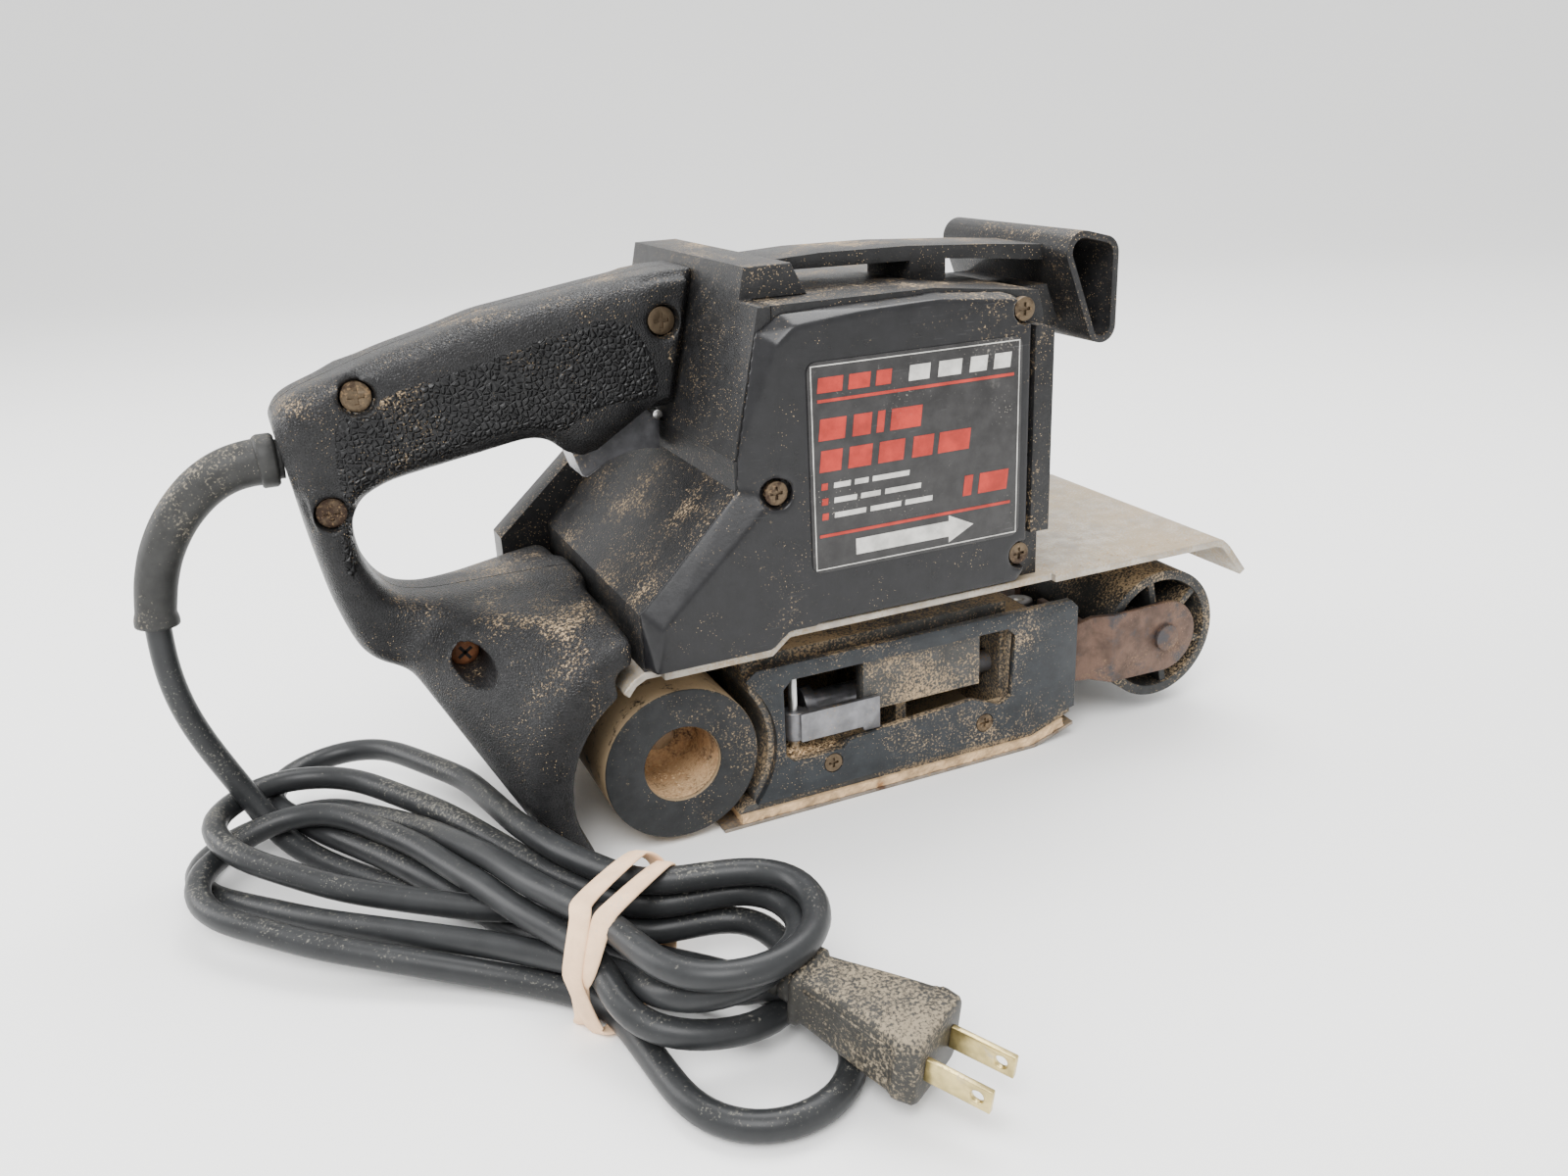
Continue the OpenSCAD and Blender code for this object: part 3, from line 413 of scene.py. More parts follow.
HANDLE_Y = 20
CORD_D = 7.4
HANK_AT, HANK_TURN = (-112.0, -100.0), math.radians(-52)
PLUG_AT, PLUG_TURN, PLUG_DIP = (-80.0, -141.0, 19.0), math.radians(-58), math.radians(7)
LOOP_AT, LOOP_R = (-93, -145.5), 22.4
LOW = 4.4
LEAD_ROUTE = [
    (-211.4, HANDLE_Y, 84), (-212, HANDLE_Y, 74), (-211.4, HANDLE_Y, 64), (-209.5, HANDLE_Y, 54),
    (-206.5, HANDLE_Y, 44.5), (-202.8, HANDLE_Y, 35.5), (-199, 19.4, 27),
    (-195.6, 17.8, 19.5), (-192.4, 14.6, 13), (-188.6, 9.4, 8.5)]
# Where each strand passes the rubber band, across the hank and above the floor
SLOTS = {
    "lead": (9, LOW), "tail": (-9.5, LOW), "a": (-9, 19.5), "b": (9, 19.5), "c": (0, 8.5), "d": (-9, 27),
    "l1": (9, 27), "l2": (-9.5, 12), "l3": (9, 12)}
# From slot, to slot, the fold's middle along and across the hank, its radius and its height
TURNS = [
    ("tail", "a", (-116, -10), 25, 15), ("a", "l3", (20, 2), 25, 15), ("l3", "b", (-126, 8), 25, 17),
    ("b", "l2", (24, 3), 25, 21), ("l2", "d", (-133, 2), 25, 8), ("d", "l1", (29, 3), 24.5, 29),
    ("l1", "c", (-138, 34), 23.5, 12)]
# Where the handle's hood comes down among the strands
HOOD_FOOT = ((-122.5, -24), (-122, -29), (-121.6, -34), (-120.8, -39), (-119.8, -44), (-117, -46))


def hank(u, v, z):
    """A point given along and across the hank, in mm."""
    c, s = math.cos(HANK_TURN), math.sin(HANK_TURN)
    return (HANK_AT[0] + u * c - v * s, HANK_AT[1] + u * s + v * c, z)


def plug(x, y=0.0, z=0.0):
    """A point of the plug's own frame, in mm."""
    along = x * math.cos(PLUG_DIP) + z * math.sin(PLUG_DIP)
    c, s = math.cos(PLUG_TURN), math.sin(PLUG_TURN)
    return (PLUG_AT[0] + along * c - y * s, PLUG_AT[1] + along * s + y * c,
            PLUG_AT[2] - x * math.sin(PLUG_DIP) + z * math.cos(PLUG_DIP))


def one_turn(start, end, middle, radius, tip_z):
    """Out of the tie at one slot, round an end of the hank, and back to the next slot."""
    (v0, z0), (v1, z1), (mu, mv) = SLOTS[start], SLOTS[end], middle
    way, side = (1 if mu > 0 else -1), (1 if v0 > v1 else -1)
    h0, h1 = z0 + (tip_z - z0) * 0.75, z1 + (tip_z - z1) * 0.75

    def leg(v, z, edge, order):
        for k in order:
            f = k / 4
            ease = f if way > 0 else f * f * (3 - 2 * f)
            yield hank(mu * f * 0.92, v + (edge - v) * ease, z + (tip_z - z) * 0.75 * ease)

    points = list(leg(v0, z0, mv + side * radius, (1, 2, 3)))
    for k in range(7):
        a = math.pi * k / 6
        points.append(hank(mu + way * radius * math.sin(a), mv + side * radius * math.cos(a),
                           h0 + (h1 - h0) * k / 6 + (tip_z - (h0 + h1) / 2) * math.sin(a) ** 2))
    points += leg(v1, z1, mv - side * radius, (3, 2, 1))
    return points


def at_slot(name):
    return hank(0, *SLOTS[name])


def cord_route():
    """From the strain relief, under the hank, round the loose loop, through the turns, to the plug."""
    points = list(LEAD_ROUTE)
    points += [hank(*p) for p in ((-118, 6.5, 5.4), (-95, 6, LOW), (-65, 6.5, LOW), (-35, 8, LOW))]
    points += [at_slot("lead"), hank(22, 12, LOW), (-75, -131, LOW)]
    for a in (math.radians(k) for k in range(375, 179, -15)):
        points.append((LOOP_AT[0] + LOOP_R * math.cos(a), LOOP_AT[1] + LOOP_R * math.sin(a), LOW))
    points.append((-117, -128, LOW))
    for start, end, middle, radius, tip_z in TURNS:
        points.append(at_slot(start))
        points += one_turn(start, end, middle, radius, tip_z)
    points += [at_slot("c"), hank(16, 0.5, 6), hank(33, 0.5, 9.5), hank(42, 0.3, 14), plug(-5), plug(1)]
    return np.array(points, float)


def settle(route, step=3.0, rounds=120):
    """Ease strands that meet apart, and off the hood, and keep them above the floor."""
    spans = np.linalg.norm(np.diff(route, axis=0), axis=1)
    run = np.concatenate([[0], np.cumsum(spans)])
    at = np.linspace(0, run[-1], int(round(run[-1] / step)) + 1)
    base = np.stack([np.interp(at, run, route[:, k]) for k in range(3)], 1)
    n = len(base)
    for _ in range(12):
        base[1:-1] += 0.5 * ((base[:-2] + base[2:]) / 2 - base[1:-1])
    # The hanging lead and the end in the plug stay where they are
    hold = np.ones(n)
    hold[:30] = 0
    hold[30:38] = np.linspace(0, 1, 8)
    hold[-9:-4] = np.linspace(1, 0, 5)
    hold[-4:] = 0
    i, j = np.triu_indices(n, 10)
    moved = np.zeros_like(base)
    gap = CORD_D + 0.2
    hood_gap = 4.8
    for _ in range(rounds):
        q = base + moved
        apart = q[i] - q[j]
        far = np.linalg.norm(apart, axis=1)
        near = far < gap
        push = np.zeros_like(q)
        if near.any():
            a, b, size = i[near], j[near], np.maximum(far[near], 0.3)
            way = apart[near] / size[:, None]
            way[:, 2] += np.sign(way[:, 2] + 1e-6) * 0.4
            way /= np.linalg.norm(way, axis=1)[:, None]
            each = way * ((gap - size) * 0.5)[:, None]
            count = np.ones(n)
            np.add.at(push, a, each)
            np.add.at(push, b, -each)
            np.add.at(count, a, 0.5)
            np.add.at(count, b, 0.5)
            push /= count[:, None]
        for x, y in HOOD_FOOT:
            off = q[:, :2] - (x, y)
            reach = np.maximum(np.linalg.norm(off, axis=1), 0.3)
            press = np.maximum(hood_gap - reach, 0) * 0.5
            push[:, :2] += off / reach[:, None] * press[:, None]
        moved = (moved + push * 2) * hold[:, None]
        for _ in range(3):
            moved[1:-1] = moved[1:-1] * 0.5 + (moved[:-2] + moved[2:]) * 0.25
        moved[:, 2] = np.maximum(moved[:, 2], CORD_D / 2 + 0.3 - base[:, 2])
    return base + moved


strand = settle(cord_route())
curve = bpy.data.curves.new("cord", "CURVE")
curve.dimensions = "3D"
curve.bevel_depth = CORD_D / 2 * MM
curve.bevel_resolution = 5
curve.use_fill_caps = True
line = curve.splines.new("POLY")
line.points.add(len(strand) - 1)
for point, p in zip(line.points, strand):
    point.co = (*(p * MM), 1)
line.use_smooth = True
cord = bpy.data.objects.new("cord", curve)
scene.collection.objects.link(cord)
finish_piece(cord, "housing", "cord_jacket", stands_for=("cord_lead", "cord_hank", "cord_loop"))

# Rubber band: two flat strands crossing round the bundle
hank_cos, hank_sin = math.cos(HANK_TURN), math.sin(HANK_TURN)
near_tie = []
for p in strand:
    from_tie = (p[0] - HANK_AT[0], p[1] - HANK_AT[1])
    if abs(from_tie[0] * hank_cos + from_tie[1] * hank_sin) < 5.5:
        near_tie.append((from_tie[0] * -hank_sin + from_tie[1] * hank_cos, p[2]))


def around_bundle(samples, clear):
    """The bundle's outline seen along the hank, as a taut loop of (v, z) points."""
    middle = (float(np.mean([p[0] for p in near_tie])), float(np.mean([p[1] for p in near_tie])))
    loop = []
    for k in range(samples):
        a = 2 * math.pi * k / samples
        reach = max((v - middle[0]) * math.cos(a) + (z - middle[1]) * math.sin(a) for v, z in near_tie)
        loop.append((a, reach + CORD_D / 2 + clear))
    points = []
    for k in range(samples):
        a, h = loop[k]
        slope = (loop[(k + 1) % samples][1] - loop[k - 1][1]) / (2 * 2 * math.pi / samples)
        points.append((middle[0] + h * math.cos(a) - slope * math.sin(a),
                       middle[1] + h * math.sin(a) + slope * math.cos(a)))
    return points


for index, (lean, clear) in enumerate(((1, 0.75), (-1, 1.9))):
    outline = around_bundle(56, clear)
    path = []
    for k, (v, z) in enumerate(outline):
        a = 2 * math.pi * k / len(outline)
        u = lean * 4.2 * math.sin(a) + 0.8 * math.sin(3 * a + index)
        path.append(hank(u, v, max(z, 1.0)))
    path = np.array(path)
    for _ in range(3):
        path = (np.roll(path, 1, 0) + 2 * path + np.roll(path, -1, 0)) / 4
    path[:, 2] = np.maximum(path[:, 2], 0.95)
    band = tube(f"band_{index + 1}", path, 2.9, flat=0.26, sides=14, closed=True,
                side_hint=lambda i: (hank_cos, hank_sin, 0.25 * math.sin(0.22 * i)))
    finish_piece(band, "housing", "band_rubber", stands_for=("cord_tie",))

# --- Plug ------------------------------------------------------------------


def plug_section(x, half_w, half_h, power=5.0, sides=40):
    """One ring of the plug: a rounded box, squarer as the power rises."""
    ring = []
    for k in range(sides):
        a = 2 * math.pi * k / sides
        c, s = math.cos(a), math.sin(a)
        y = half_w * math.copysign(abs(c) ** (2 / power), c)
        z = half_h * math.copysign(abs(s) ** (2 / power), s)
        ring.append(tuple(v * MM for v in plug(x, y, z)))
    return ring


# Along the plug, half its width, half its height and how square it is
PLUG_RINGS = [
    (-9, 4.9, 4.9, 2), (-8.4, 5.5, 5.5, 2), (-5.4, 5.6, 5.6, 2), (-5, 4.9, 4.9, 2),
    (-4.2, 4.9, 4.9, 2), (-3.8, 5.6, 5.6, 2), (-1.2, 5.8, 5.8, 2), (-0.9, 5.2, 5.2, 2),
    (-0.2, 5.3, 5.3, 2.2), (0, 6.9, 7.3, 5), (0.5, 7.5, 8, 6), (2.4, 7.5, 8, 6), (3, 7, 7.5, 6),
    (3.4, 6.6, 7.1, 6), (8, 7.3, 7.5, 6), (16, 8.6, 8.2, 7), (24, 9.9, 8.7, 8),
    (29.5, 10.6, 9, 9), (30.4, 11, 9.2, 9), (30.9, 11.6, 8.9, 8), (31.6, 12, 9.2, 8),
    (33, 11.7, 9.5, 8), (36.2, 11, 9.5, 8), (37, 10.4, 8.9, 8)]
plug_shell = stack("plug_shell", [plug_section(*row) for row in PLUG_RINGS])
finish_piece(plug_shell, "housing", "plug_plastic", stands_for=("plug_body",))
RIB = ((4, 6.7), (10, 7.6), (18, 8.85), (26, 10.1), (30, 10.6))
for index, side in enumerate((-1, 1)):
    rib = tube(f"plug_rib_{index + 1}", [plug(x, side * (y - 0.15), 4.6) for x, y in RIB], 0.55, sides=10)
    finish_piece(rib, "housing", "plug_plastic")

# --- Strain relief ---------------------------------------------------------

RELIEF_Z = 128
RELIEF = (
    (-169, RELIEF_Z), (-174, RELIEF_Z), (-179, 127.8), (-184, 126.8), (-189, 124.7), (-194, 121.3),
    (-199, 116.4), (-203, 111), (-206.5, 104.5), (-209, 97.5), (-210.4, 91.5), (-211.1, 87.5), (-211.4, 84))
COLLAR = ((-170.6, 128), (-171.2, 128), (-171.6, 128), (-175.2, 128), (-175.9, 128), (-176.2, 127.98))
relief_line = catmull([(x, HANDLE_Y, z) for x, z in RELIEF], 5)
share = np.linspace(0, 1, len(relief_line))
relief_r = 7.1 - 1.55 * share
lip = share > 0.9
relief_r[lip] = 5.55 + 0.75 * np.sin((share[lip] - 0.9) / 0.1 * math.pi * 0.62)
relief_r[:4] = [5.9, 5.9, 5.9, 7.0]
relief = tube("relief_sleeve", relief_line, relief_r, sides=32)
finish_piece(relief, "housing", "relief_rubber", stands_for=("strain_relief",))
collar = tube("relief_collar", [(x, HANDLE_Y, z) for x, z in COLLAR], [7.2, 7.8, 8, 8, 7.6, 7.0], sides=32)
finish_piece(collar, "housing", "relief_rubber")

# --- Rear handle -----------------------------------------------------------


def rounded_copy(name, nodes, voxel, passes, melt_passes=0, melt=None):
    """The shape of CAD nodes with its edges melted round, as moulded plastic."""
    bm = bmesh.new()
    for node in nodes:
        bm.from_mesh(frame["nodes"][node].data)
    bmesh.ops.remove_doubles(bm, verts=bm.verts, dist=0.00002)
    mesh = bpy.data.meshes.new(name)
    bm.to_mesh(mesh)
    bm.free()
    ob = bpy.data.objects.new(name, mesh)
    scene.collection.objects.link(ob)

    def bake():
        """Take what the modifiers make as the object's own mesh."""
        bpy.context.view_layer.update()
        baked = bpy.data.meshes.new_from_object(ob.evaluated_get(bpy.context.evaluated_depsgraph_get()))
        ob.modifiers.clear()
        ob.data = baked

    remesh = ob.modifiers.new("remesh", "REMESH")
    remesh.mode = "VOXEL"
    remesh.voxel_size = voxel * MM
    ease = ob.modifiers.new("ease", "SMOOTH")
    ease.factor = 0.5
    ease.iterations = passes
    bake()
    if melt_passes:
        co = np.zeros(len(ob.data.vertices) * 3)
        ob.data.vertices.foreach_get("co", co)
        weight = np.round(melt(co.reshape(-1, 3) / MM) * 8).astype(int)
        group = ob.vertex_groups.new(name="melt")
        for level in range(1, 9):
            group.add([int(v) for v in np.nonzero(weight == level)[0]], level / 8, "REPLACE")
        soft = ob.modifiers.new("soft", "SMOOTH")
        soft.factor = 0.5
        soft.iterations = melt_passes
        soft.vertex_group = "melt"
        bake()
    for p in ob.data.polygons:
        p.use_smooth = True
    return ob


HOOD_SCREW = (-128, 65)
SCREWS = ((-147, 146), (-159, 115), (-53, 158), HOOD_SCREW)
ROLLER_X, ROLLER_Z = -72, 28


def handle_melt(p):
    """How freely each point of the handle may round off: not at screws, joints or the hood's rims."""
    x, y, z = p.T
    w = np.clip((-57 - x) / 8, 0, 1)
    for sx, sz in SCREWS:
        w = np.minimum(w, np.clip((np.hypot(x - sx, z - sz) - 7.0) / 3, 0, 1))
    w = np.minimum(w, np.clip((np.hypot(x - ROLLER_X, z - ROLLER_Z) - 38.5) / 4, 0, 1))
    w = np.minimum(w, np.clip((np.hypot(y - HANDLE_Y, z - RELIEF_Z) - 10) / 3 + (x + 160) / 6, 0, 1))
    trigger_slot = (x > -90) & (z < 136) & (z > 105) & (y > 8) & (y < 32)
    return np.where(trigger_slot, 0, w)


def half_of(ob, name, side):
    """The part of a mesh on one side of the handle's seam."""
    seam = HANDLE_Y + side * 0.16
    bm = bmesh.new()
    bm.from_mesh(ob.data)
    cut = bmesh.ops.bisect_plane(bm, geom=bm.verts[:] + bm.edges[:] + bm.faces[:], dist=1e-7,
                                 plane_co=(0, seam * MM, 0), plane_no=(0, side, 0), clear_inner=True)
    rim = [e for e in cut["geom_cut"] if isinstance(e, bmesh.types.BMEdge) and e.is_boundary]
    bmesh.ops.triangle_fill(bm, edges=rim, normal=(0, -side, 0), use_beauty=True)
    bmesh.ops.recalc_face_normals(bm, faces=bm.faces)
    mesh = bpy.data.meshes.new(name)
    bm.to_mesh(mesh)
    bm.free()
    for p in mesh.polygons:
        p.use_smooth = abs(p.center.y / MM - seam) > 0.02
    half = bpy.data.objects.new(name, mesh)
    scene.collection.objects.link(half)
    return half


whole = rounded_copy("handle_whole", ("handle_right", "handle_left"), 0.95, 8, 120, handle_melt)
handle_right = half_of(whole, "handle_half_right", -1)
handle_left = half_of(whole, "handle_half_left", 1)
bpy.data.objects.remove(whole)
finish_piece(handle_right, "housing", "grip_plastic", stands_for=("handle_right",))
finish_piece(handle_left, "housing", "grip_plastic", stands_for=("handle_left",))
cover = rounded_copy("cover_shell", ("side_cover",), 0.7, 9)
finish_piece(cover, "housing", "cover_plastic", stands_for=("side_cover",))

# The grained panel's outline on the grip
PANEL = [
    (-151.5, 143), (-155, 137.5), (-156, 128), (-156, 120), (-158.5, 104), (-159, 96), (-156, 91),
    (-153, 97), (-151.5, 104), (-152, 111), (-149.5, 117), (-144, 121), (-136, 123), (-124, 125.5),
    (-113, 128.5), (-103, 130), (-95, 129.5), (-88, 127.5), (-83, 131), (-75, 134), (-64, 134),
    (-57, 135), (-56, 140), (-58, 149), (-62, 156.5), (-66, 160), (-74, 161), (-89, 158), (-100, 155),
    (-113, 152), (-132, 148), (-141, 145.5)]


def inside(point, outline):
    """Whether a point lies within a closed outline."""
    x, z = point
    hit = False
    for (x0, z0), (x1, z1) in zip(outline, outline[1:] + outline[:1]):
        if (z0 > z) != (z1 > z) and x < (x1 - x0) * (z - z0) / (z1 - z0) + x0:
            hit = not hit
    return hit


def skin_panel(name, host, outline, side, proud, step=1.3):
    """A thin raised panel that follows the host's surface, sunk in at its border."""
    tree = BVHTree.FromObject(host, bpy.context.evaluated_depsgraph_get())
    edges = list(zip(outline, outline[1:] + outline[:1]))
    bm = bmesh.new()
    cells = {}
    xs = np.arange(min(p[0] for p in outline) - step, max(p[0] for p in outline) + step, step)
    zs = np.arange(min(p[1] for p in outline) - step, max(p[1] for p in outline) + step, step)
    for i, x in enumerate(xs):
        for j, z in enumerate(zs):
            nearest = (near_segment((x, z), a, b) for a, b in edges)
            border = min(nearest, key=lambda q: math.dist(q, (x, z)))
            edge = math.dist(border, (x, z))
            if not inside((x, z), outline):
                if edge > step:
                    continue
                x_at, z_at, edge = *border, 0.0
            else:
                x_at, z_at = x, z
            hit = tree.ray_cast(Vector((x_at * MM, side * 0.1, z_at * MM)), Vector((0, -side, 0)))
            if hit[0] is None:
                continue
            rise = proud * (min(edge / 1.4, 1.0) ** 0.5 * 1.6 - 0.6)
            cells[i, j] = bm.verts.new(hit[0] + Vector((0, side, 0)) * rise * MM)
    for (i, j) in list(cells):
        quad = [cells.get(k) for k in ((i, j), (i + 1, j), (i + 1, j + 1), (i, j + 1))]
        if all(quad):
            bm.faces.new(quad)
    bmesh.ops.delete(bm, geom=[v for v in bm.verts if not v.link_faces], context="VERTS")
    bmesh.ops.remove_doubles(bm, verts=bm.verts, dist=0.00003)
    bmesh.ops.smooth_vert(bm, verts=bm.verts, factor=0.4, use_axis_x=True, use_axis_y=True, use_axis_z=True)
    for face in bm.faces:
        face.normal_update()
        if face.normal.y * side < 0:
            face.normal_flip()
    mesh = bpy.data.meshes.new(name)
    bm.to_mesh(mesh)
    bm.free()
    for p in mesh.polygons:
        p.use_smooth = True
    ob = bpy.data.objects.new(name, mesh)
    scene.collection.objects.link(ob)
    return ob


def near_segment(p, a, b):
    """The point of a segment nearest to p."""
    ab = (b[0] - a[0], b[1] - a[1])
    t = ((p[0] - a[0]) * ab[0] + (p[1] - a[1]) * ab[1]) / (ab[0] ** 2 + ab[1] ** 2)
    t = max(0.0, min(1.0, t))
    return (a[0] + ab[0] * t, a[1] + ab[1] * t)


panel_right = skin_panel("grain_panel_right", handle_right, PANEL, -1, 0.45)
finish_piece(panel_right, "housing", "grip_plastic", LEATHER)
panel_left = skin_panel("grain_panel_left", handle_left, PANEL, 1, 0.45)
finish_piece(panel_left, "housing", "grip_plastic", LEATHER)

# The rusty screw deep in the hood, with its cross slot shown as painted shade
RUST = surface("rust", (0.24, 0.095, 0.04), 0.7, metal=0.3, dust=0.35, dust_col=(0.5, 0.27, 0.12), vary=0.5,
               second=((0.06, 0.03, 0.02), 0.55), grain=("noise", 800, 0.8))
hood_screw = tube("hood_screw", [(HOOD_SCREW[0], y, HOOD_SCREW[1]) for y in (1.5, -0.6, -1.9, -2.5)],
                  [4.9, 4.9, 4.3, 2.4], sides=28, side_hint=(0, 0, 1))
finish_piece(hood_screw, "housing", "screw_steel", RUST)
# Painted shade: the cross recess is two near-black bars standing on the head, not cut into it
for index, turn in enumerate((35, 125)):
    c, t = math.cos(math.radians(turn)), math.sin(math.radians(turn))
    bar = [(HOOD_SCREW[0] + 2.6 * i * c - 0.5 * j * t, HOOD_SCREW[1] + 2.6 * i * t + 0.5 * j * c)
           for i, j in ((-1, -1), (1, -1), (1, 1), (-1, 1))]
    cross = prism(f"hood_screw_slot_shade_{index + 1}", bar, -2.62, -2.0)
    finish_piece(cross, "housing", "screw_steel", M["carbon"])

# --- Edges of the CAD's own parts --------------------------------------------

EDGES = {
    "motor_housing": 1.2, "rear_block": 3.2, "label_plate": 0.15, "belt_cover": 2.0,
    "front_handle": 1.8, "deck_plate": 0.5, "side_frame": 1.0, "trigger": 1.6, "platen_frame": 0.7,
    "platen_bracket": 0.4, "shoe_plate": 0.3, "tension_lever": 0.5, "slide_carriage": 0.4, "yoke": 0.4,
    "idler_wheel": 0.5, "idler_axle": 0.5, "tracking_knob": 0.3, "drive_roller_core": 0.4,
    "drive_roller_tread": 0.6, "drive_shaft": 0.4, "large_pulley": 0.1, "motor_end_plate": 0.4,
    "cooling_fan": 0.2, "commutator": 0.3,
    "stator_core": 0.4, "field_coils": 2.0, "armature_core": 0.3, "brush_holders": 0.4, "switch_body": 0.6,
    "lock_button": 0.8, "cord_clamp": 0.6, "plug_blades": 0.3, "handle_screws": 0.3, "cover_screws": 0.3,
    "platen_screws": 0.3}
for node, width in EDGES.items():
    round_edges(frame["nodes"][node], width)
for node in ("lead_wires", "tension_spring", "trigger_spring", "armature_shaft", "trigger_pin", "lever_pin",
             "yoke_pin", "motor_bearings", "drive_bearings", "carbon_brushes", "small_pulley", "timing_belt"):
    round_edges(frame["nodes"][node], 0.08, angle=50, segments=1)

# --- Left cover's louvres -----------------------------------------------------

LEFT_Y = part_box("belt_cover")[1].y / MM
LOUVRES, LOUVRE_Z, LOUVRE_STEP = 7, 98, 6.2
for index in range(LOUVRES):
    z = LOUVRE_Z + LOUVRE_STEP * index
    bulge = [(-18, z), (22, z), (23.5, z + 1.1), (22, z + 2.6), (-18, z + 2.6), (-19.5, z + 1.1)]
    louvre = prism(f"louvre_{index + 1}", bulge, LEFT_Y - 0.8, LEFT_Y + 0.9)
    round_edges(louvre, 0.5)
    finish_piece(louvre, "housing", "housing_plastic")
    # Painted shade: a near-black band laid on the cover under each louvre, standing for the dark slit below
    # it
    slit_shade = prism(f"louvre_gap_shade_{index + 1}", rect(-18, 22, z - 1.3, z - 0.1), LEFT_Y - 0.5, LEFT_Y + 0.12)
    finish_piece(slit_shade, "housing", "housing_plastic", M["carbon"])

# --- Sole ------------------------------------------------------------------


CORK_LOW, CORK_THICK = 0.00125, 0.0029
NOSE_FROM, NOSE_SLOPE = 0.0597, 0.331


def ragged_cork():
    """The cork pad, torn along its edges and bent up at the nose."""
    low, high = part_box("cork_pad")
    nx, ny, nz = 110, 66, 3
    verts, faces = [], []
    rng = random.Random(11)
    front, back, left, rightside = ([rng.uniform(-1, 1) for _ in range(150)] for _ in range(4))

    def rough(row, k):
        return (row[k % 150] + 0.7 * row[(k * 3 + 5) % 150] + row[(k // 4) % 150]) * 0.32

    for k in range(nz + 1):
        for j in range(ny + 1):
            for i in range(nx + 1):
                s, t = i / nx, j / ny
                x0 = low.x + 0.0003 + 0.0007 * abs(rough(back, j + 9 * k))
                x1 = high.x - 0.0004 - 0.0014 * abs(rough(front, j + 7 * k))
                x = x0 + (x1 - x0) * s
                y0 = low.y + 0.0009 * abs(rough(left, i + 5 * k))
                y1 = high.y - 0.0009 * abs(rough(rightside, i + 3 * k))
                y = y0 + (y1 - y0) * t
                lift = max(0.0, x - NOSE_FROM) * NOSE_SLOPE
                verts.append((x, y, CORK_LOW + CORK_THICK * k / nz + lift))
    row, layer = nx + 1, (nx + 1) * (ny + 1)

    def at(i, j, k):
        return k * layer + j * row + i

    for k in (0, nz):
        for j in range(ny):
            for i in range(nx):
                faces.append((at(i, j, k), at(i + 1, j, k), at(i + 1, j + 1, k), at(i, j + 1, k)))
    for k in range(nz):
        for i in range(nx):
            for j in (0, ny):
                faces.append((at(i, j, k), at(i + 1, j, k), at(i + 1, j, k + 1), at(i, j, k + 1)))
        for j in range(ny):
            for i in (0, nx):
                faces.append((at(i, j, k), at(i, j + 1, k), at(i, j + 1, k + 1), at(i, j, k + 1)))
    ob = mesh_object("cork_sheet", verts, faces, smooth=False)
    bm = bmesh.new()
    bm.from_mesh(ob.data)
    bmesh.ops.delete(bm, geom=[v for v in bm.verts if not v.link_faces], context="VERTS")
    bm.to_mesh(ob.data)
    bm.free()
    return ob


finish_piece(ragged_cork(), "housing", "cork", stands_for=("cork_pad",))

# --- Label print -----------------------------------------------------------

label_low, label_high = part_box("label_plate")
PRINT_Y = label_low.y / MM


def print_bar(name, outline, ink):
    """One printed shape, a hair proud of the label."""
    ob = prism(name, outline, PRINT_Y - 0.09, PRINT_Y + 0.2)
    finish_piece(ob, "housing", "label_film", PRINT[ink])


LX0, LX1, LZ0, LZ1 = (v / MM for v in (label_low.x, label_high.x, label_low.z, label_high.z))
BORDER = {
    "top": rect(LX0 + 1, LX1 - 1, LZ1 - 1.3, LZ1 - 1),
    "low": rect(LX0 + 1, LX1 - 1, LZ0 + 1, LZ0 + 1.3),
    "rear": rect(LX0 + 1, LX0 + 1.3, LZ0 + 1.3, LZ1 - 1.3),
    "front": rect(LX1 - 1.3, LX1 - 1, LZ0 + 1.3, LZ1 - 1.3)}
for name, edge in BORDER.items():
    print_bar(f"label_edge_{name}", edge, "pale")
print_bar("label_rule_1", rect(-28, 39, 139.2, 140.1), "red")
print_bar("label_rule_2", rect(-28.5, 38.5, 98.6, 99.5), "red")
# Plain blocks where the label has words: ink, lowest, highest and the blocks' ends
GREEK = [
    ("title_1", "pale", 142, 146.6, (2, 9, 12, 20, 23, 29, 31.5, 37.5)),
    ("title_2", "red", 142, 146.4, (-28, -20, -18, -11, -9, -4)),
    ("name_1", "red", 128, 134.4, (-28, -19.5, -17, -11, -9, -6.6, -4.4, 6)),
    ("name_2", "red", 118.6, 125, (-28, -21, -18.6, -11, -8.6, 0, 3, 10, 12, 23)),
    ("mark_1", "red", 113.2, 115.2, (-27.6, -25.6)), ("mark_2", "red", 108.6, 110.6, (-27.6, -25.6)),
    ("mark_3", "red", 104, 106, (-27.6, -25.6)),
    ("line_1", "pale", 113.4, 115, (-23.5, -18, -16.6, -12, -10.6, 2)),
    ("line_2", "pale", 108.8, 110.4, (-23.5, -16, -14.6, -8, -6.4, 6)),
    ("line_3", "pale", 104.2, 105.8, (-23.5, -13, -11.5, -1, 0.5, 10)),
    ("power", "red", 103.6, 110, (21, 24, 26.5, 37))]
for word, ink, z0, z1, edges in GREEK:
    for index in range(0, len(edges), 2):
        lean = (z1 - z0) * 0.12
        x0, x1 = edges[index:index + 2]
        block = [(x0, z0), (x1, z0), (x1 + lean, z1), (x0 + lean, z1)]
        print_bar(f"label_{word}_{index // 2 + 1}", block, ink)
ARROW = [(-16.5, 91.4), (16, 91.4), (16, 89.4), (25, 94), (16, 98.2), (16, 96.4), (-16.5, 96.4)]
print_bar("label_arrow", ARROW, "pale")
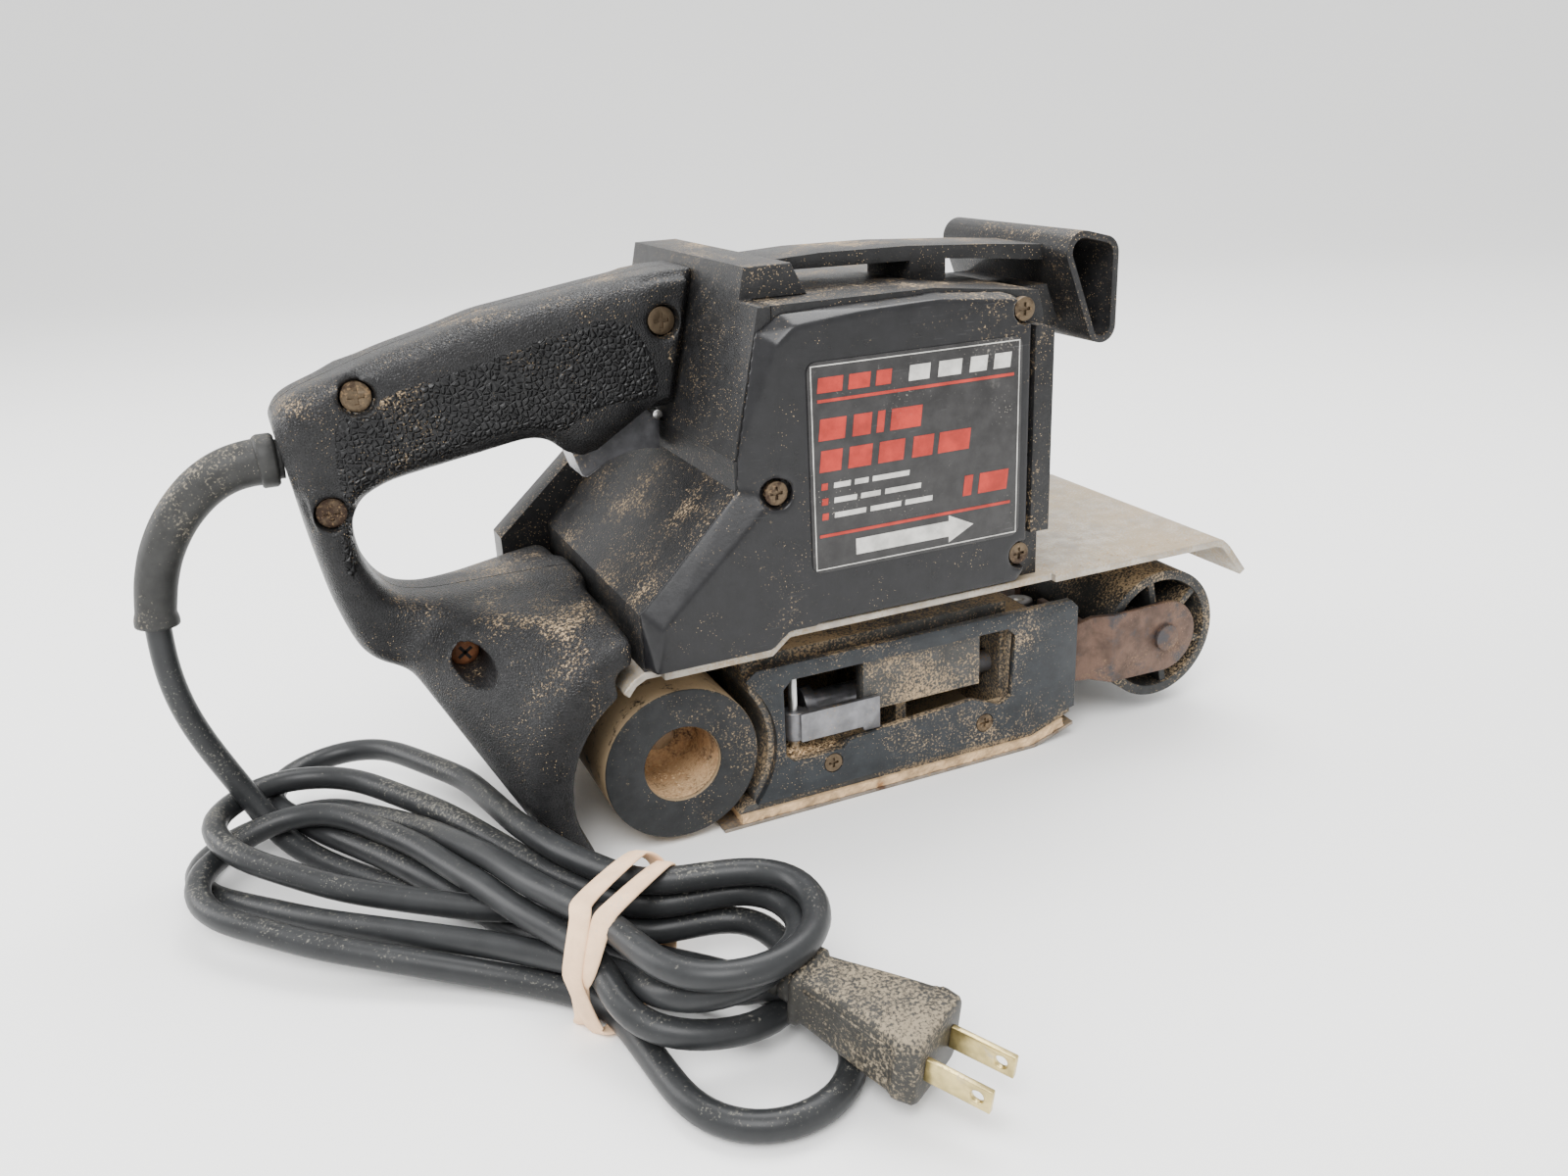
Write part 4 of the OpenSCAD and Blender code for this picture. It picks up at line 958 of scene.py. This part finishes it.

# --- Trigger's painted highlight and sawdust -----------------------------------

# Painted highlight: a thin light-grey strip laid along the black trigger's edge, where light catches it
STRIP = [
    (-83.9, 118.6), (-81.3, 110.4), (-79.6, 109.9), (-74.6, 112.8), (-75.4, 114.2), (-79.2, 112),
    (-80.2, 112.6), (-82.4, 119.2)]
strip = prism("trigger_highlight_strip", STRIP, 12.6, 27.4)
round_edges(strip, 0.4)
# The light grey of the trigger's painted highlight
TRIGGER_HIGHLIGHT = surface("trigger_painted_highlight", (0.2, 0.2, 0.205), 0.28, dust=0.15, specks=0.3,
                     grain=("noise", 600, 0.05))
finish_piece(strip, "trigger", "inner_plastic", TRIGGER_HIGHLIGHT)


def chips(name, body, spots, count, seed, size=(0.25, 0.8)):
    """Loose sawdust: small flat flakes scattered over boxes in mm, heavier where a box repeats."""
    rng = random.Random(seed)
    verts, faces = [], []
    for _ in range(count):
        x0, x1, y0, y1, z0, z1 = spots[rng.randrange(len(spots))]
        x = rng.uniform(x0, x1)
        z = z0 + (z1 - z0) * rng.random() ** 2
        y = rng.uniform(y0, y1)
        s = rng.uniform(*size) * (0.6 if rng.random() < 0.6 else 1.0)
        turn, tip = rng.uniform(0, math.pi), rng.uniform(-0.5, 0.5)
        a = Vector((math.cos(turn), math.sin(turn), tip)) * s
        b = Vector((-math.sin(turn), math.cos(turn), -tip * 0.5)) * s * rng.uniform(0.4, 0.8)
        up_by = Vector((0, 0, s * 0.3))
        middle = Vector((x, y, z))
        first = len(verts)
        for p in (middle - a, middle - b, middle + a, middle + b, middle + up_by):
            verts.append(p * MM)
        tip_at = first + 4
        faces += [(first, first + 1, tip_at), (first + 1, first + 2, tip_at), (first + 2, first + 3, tip_at),
                  (first + 3, first, tip_at), (first + 3, first + 2, first + 1, first)]
    ob = mesh_object(name, verts, faces, smooth=False)
    wood = surface(name + "_wood", (0.5, 0.35, 0.2), 0.85, dust=0.2, specks=0, vary=0.4, scratches=0)
    finish_piece(ob, body, "cork", wood)


chips("sawdust_bay", "housing", [(-36, -16, -36.2, -32, 19.2, 21.5), (-36, -24, -36.2, -31.5, 19.2, 24),
                                 (12, 49, -30.5, -14, 10.3, 12.5), (-36, 6, -30.5, -5, 10.3, 12)], 1500, 3)
chips("sawdust_deck", "housing", [(56, 124, -50, -41, 70.1, 70.4), (56, 120, -44, 45, 70.1, 70.5),
                                  (54.3, 58, -50, 48, 70.1, 72)], 420, 5, (0.2, 0.5))
chips("sawdust_roller", "drive", [(-76, -62, -36, -15, 17, 18.5), (-80, -66, -34, -15, 16.6, 18)], 260, 7)

# --- Floor and light ---------------------------------------------------------

ahead = Vector((forward.x, forward.y, 0)).normalized()
across = Vector((-ahead.y, ahead.x, 0))
COVE_FROM, COVE_R = 1.4, 1.5
profile = [(-5.0, 0.0), (COVE_FROM, 0.0)]
for a in (math.radians(k) for k in range(5, 91, 5)):
    profile.append((COVE_FROM + COVE_R * math.sin(a), COVE_R - COVE_R * math.cos(a)))
profile.append((COVE_FROM + COVE_R, 4.0))
cove = [ahead * d + across * w + Vector((0, 0, h)) for d, h in profile for w in (-6, 6)]
floor_mesh = bpy.data.meshes.new("floor")
floor_mesh.from_pydata([tuple(v) for v in cove], [],
                       [(2 * k, 2 * k + 1, 2 * k + 3, 2 * k + 2) for k in range(len(profile) - 1)])
for p in floor_mesh.polygons:
    p.use_smooth = True
floor = bpy.data.objects.new("floor", floor_mesh)
scene.collection.objects.link(floor)
paper = Nodes("floor_paper")
tone = paper.noise(3, 3, 0.5)
paper.put(paper.bsdf.inputs["Base Color"], paper.mix(tone, (0.9, 0.9, 0.89), (0.93, 0.93, 0.92)))
paper.bsdf.inputs["Roughness"].default_value = 0.6
floor_mesh.materials.append(paper.mat)

world = bpy.data.worlds.new("studio")
world.use_nodes = True
world.node_tree.nodes["Background"].inputs["Color"].default_value = (1.0, 1.0, 1.0, 1)
world.node_tree.nodes["Background"].inputs["Strength"].default_value = 1.5
scene.world = world


def softbox(name, at, to, size, power):
    """A rectangular lamp at a place, turned to a point."""
    data = bpy.data.lights.new(name, "AREA")
    data.shape = "RECTANGLE"
    data.size, data.size_y = size
    data.energy = power
    ob = bpy.data.objects.new(name, data)
    ob.location = at
    ob.rotation_euler = (Vector(to) - Vector(at)).to_track_quat("-Z", "Y").to_euler()
    scene.collection.objects.link(ob)


softbox("key", (-0.5, -0.7, 1.1), (0, 0, 0.05), (0.7, 0.7), 20)
softbox("top", (0.25, 0.35, 1.2), (0, 0, 0.08), (1.0, 0.7), 20)
softbox("rim", (-1.0, 0.5, 0.6), (-0.05, 0, 0.1), (0.5, 0.8), 10)
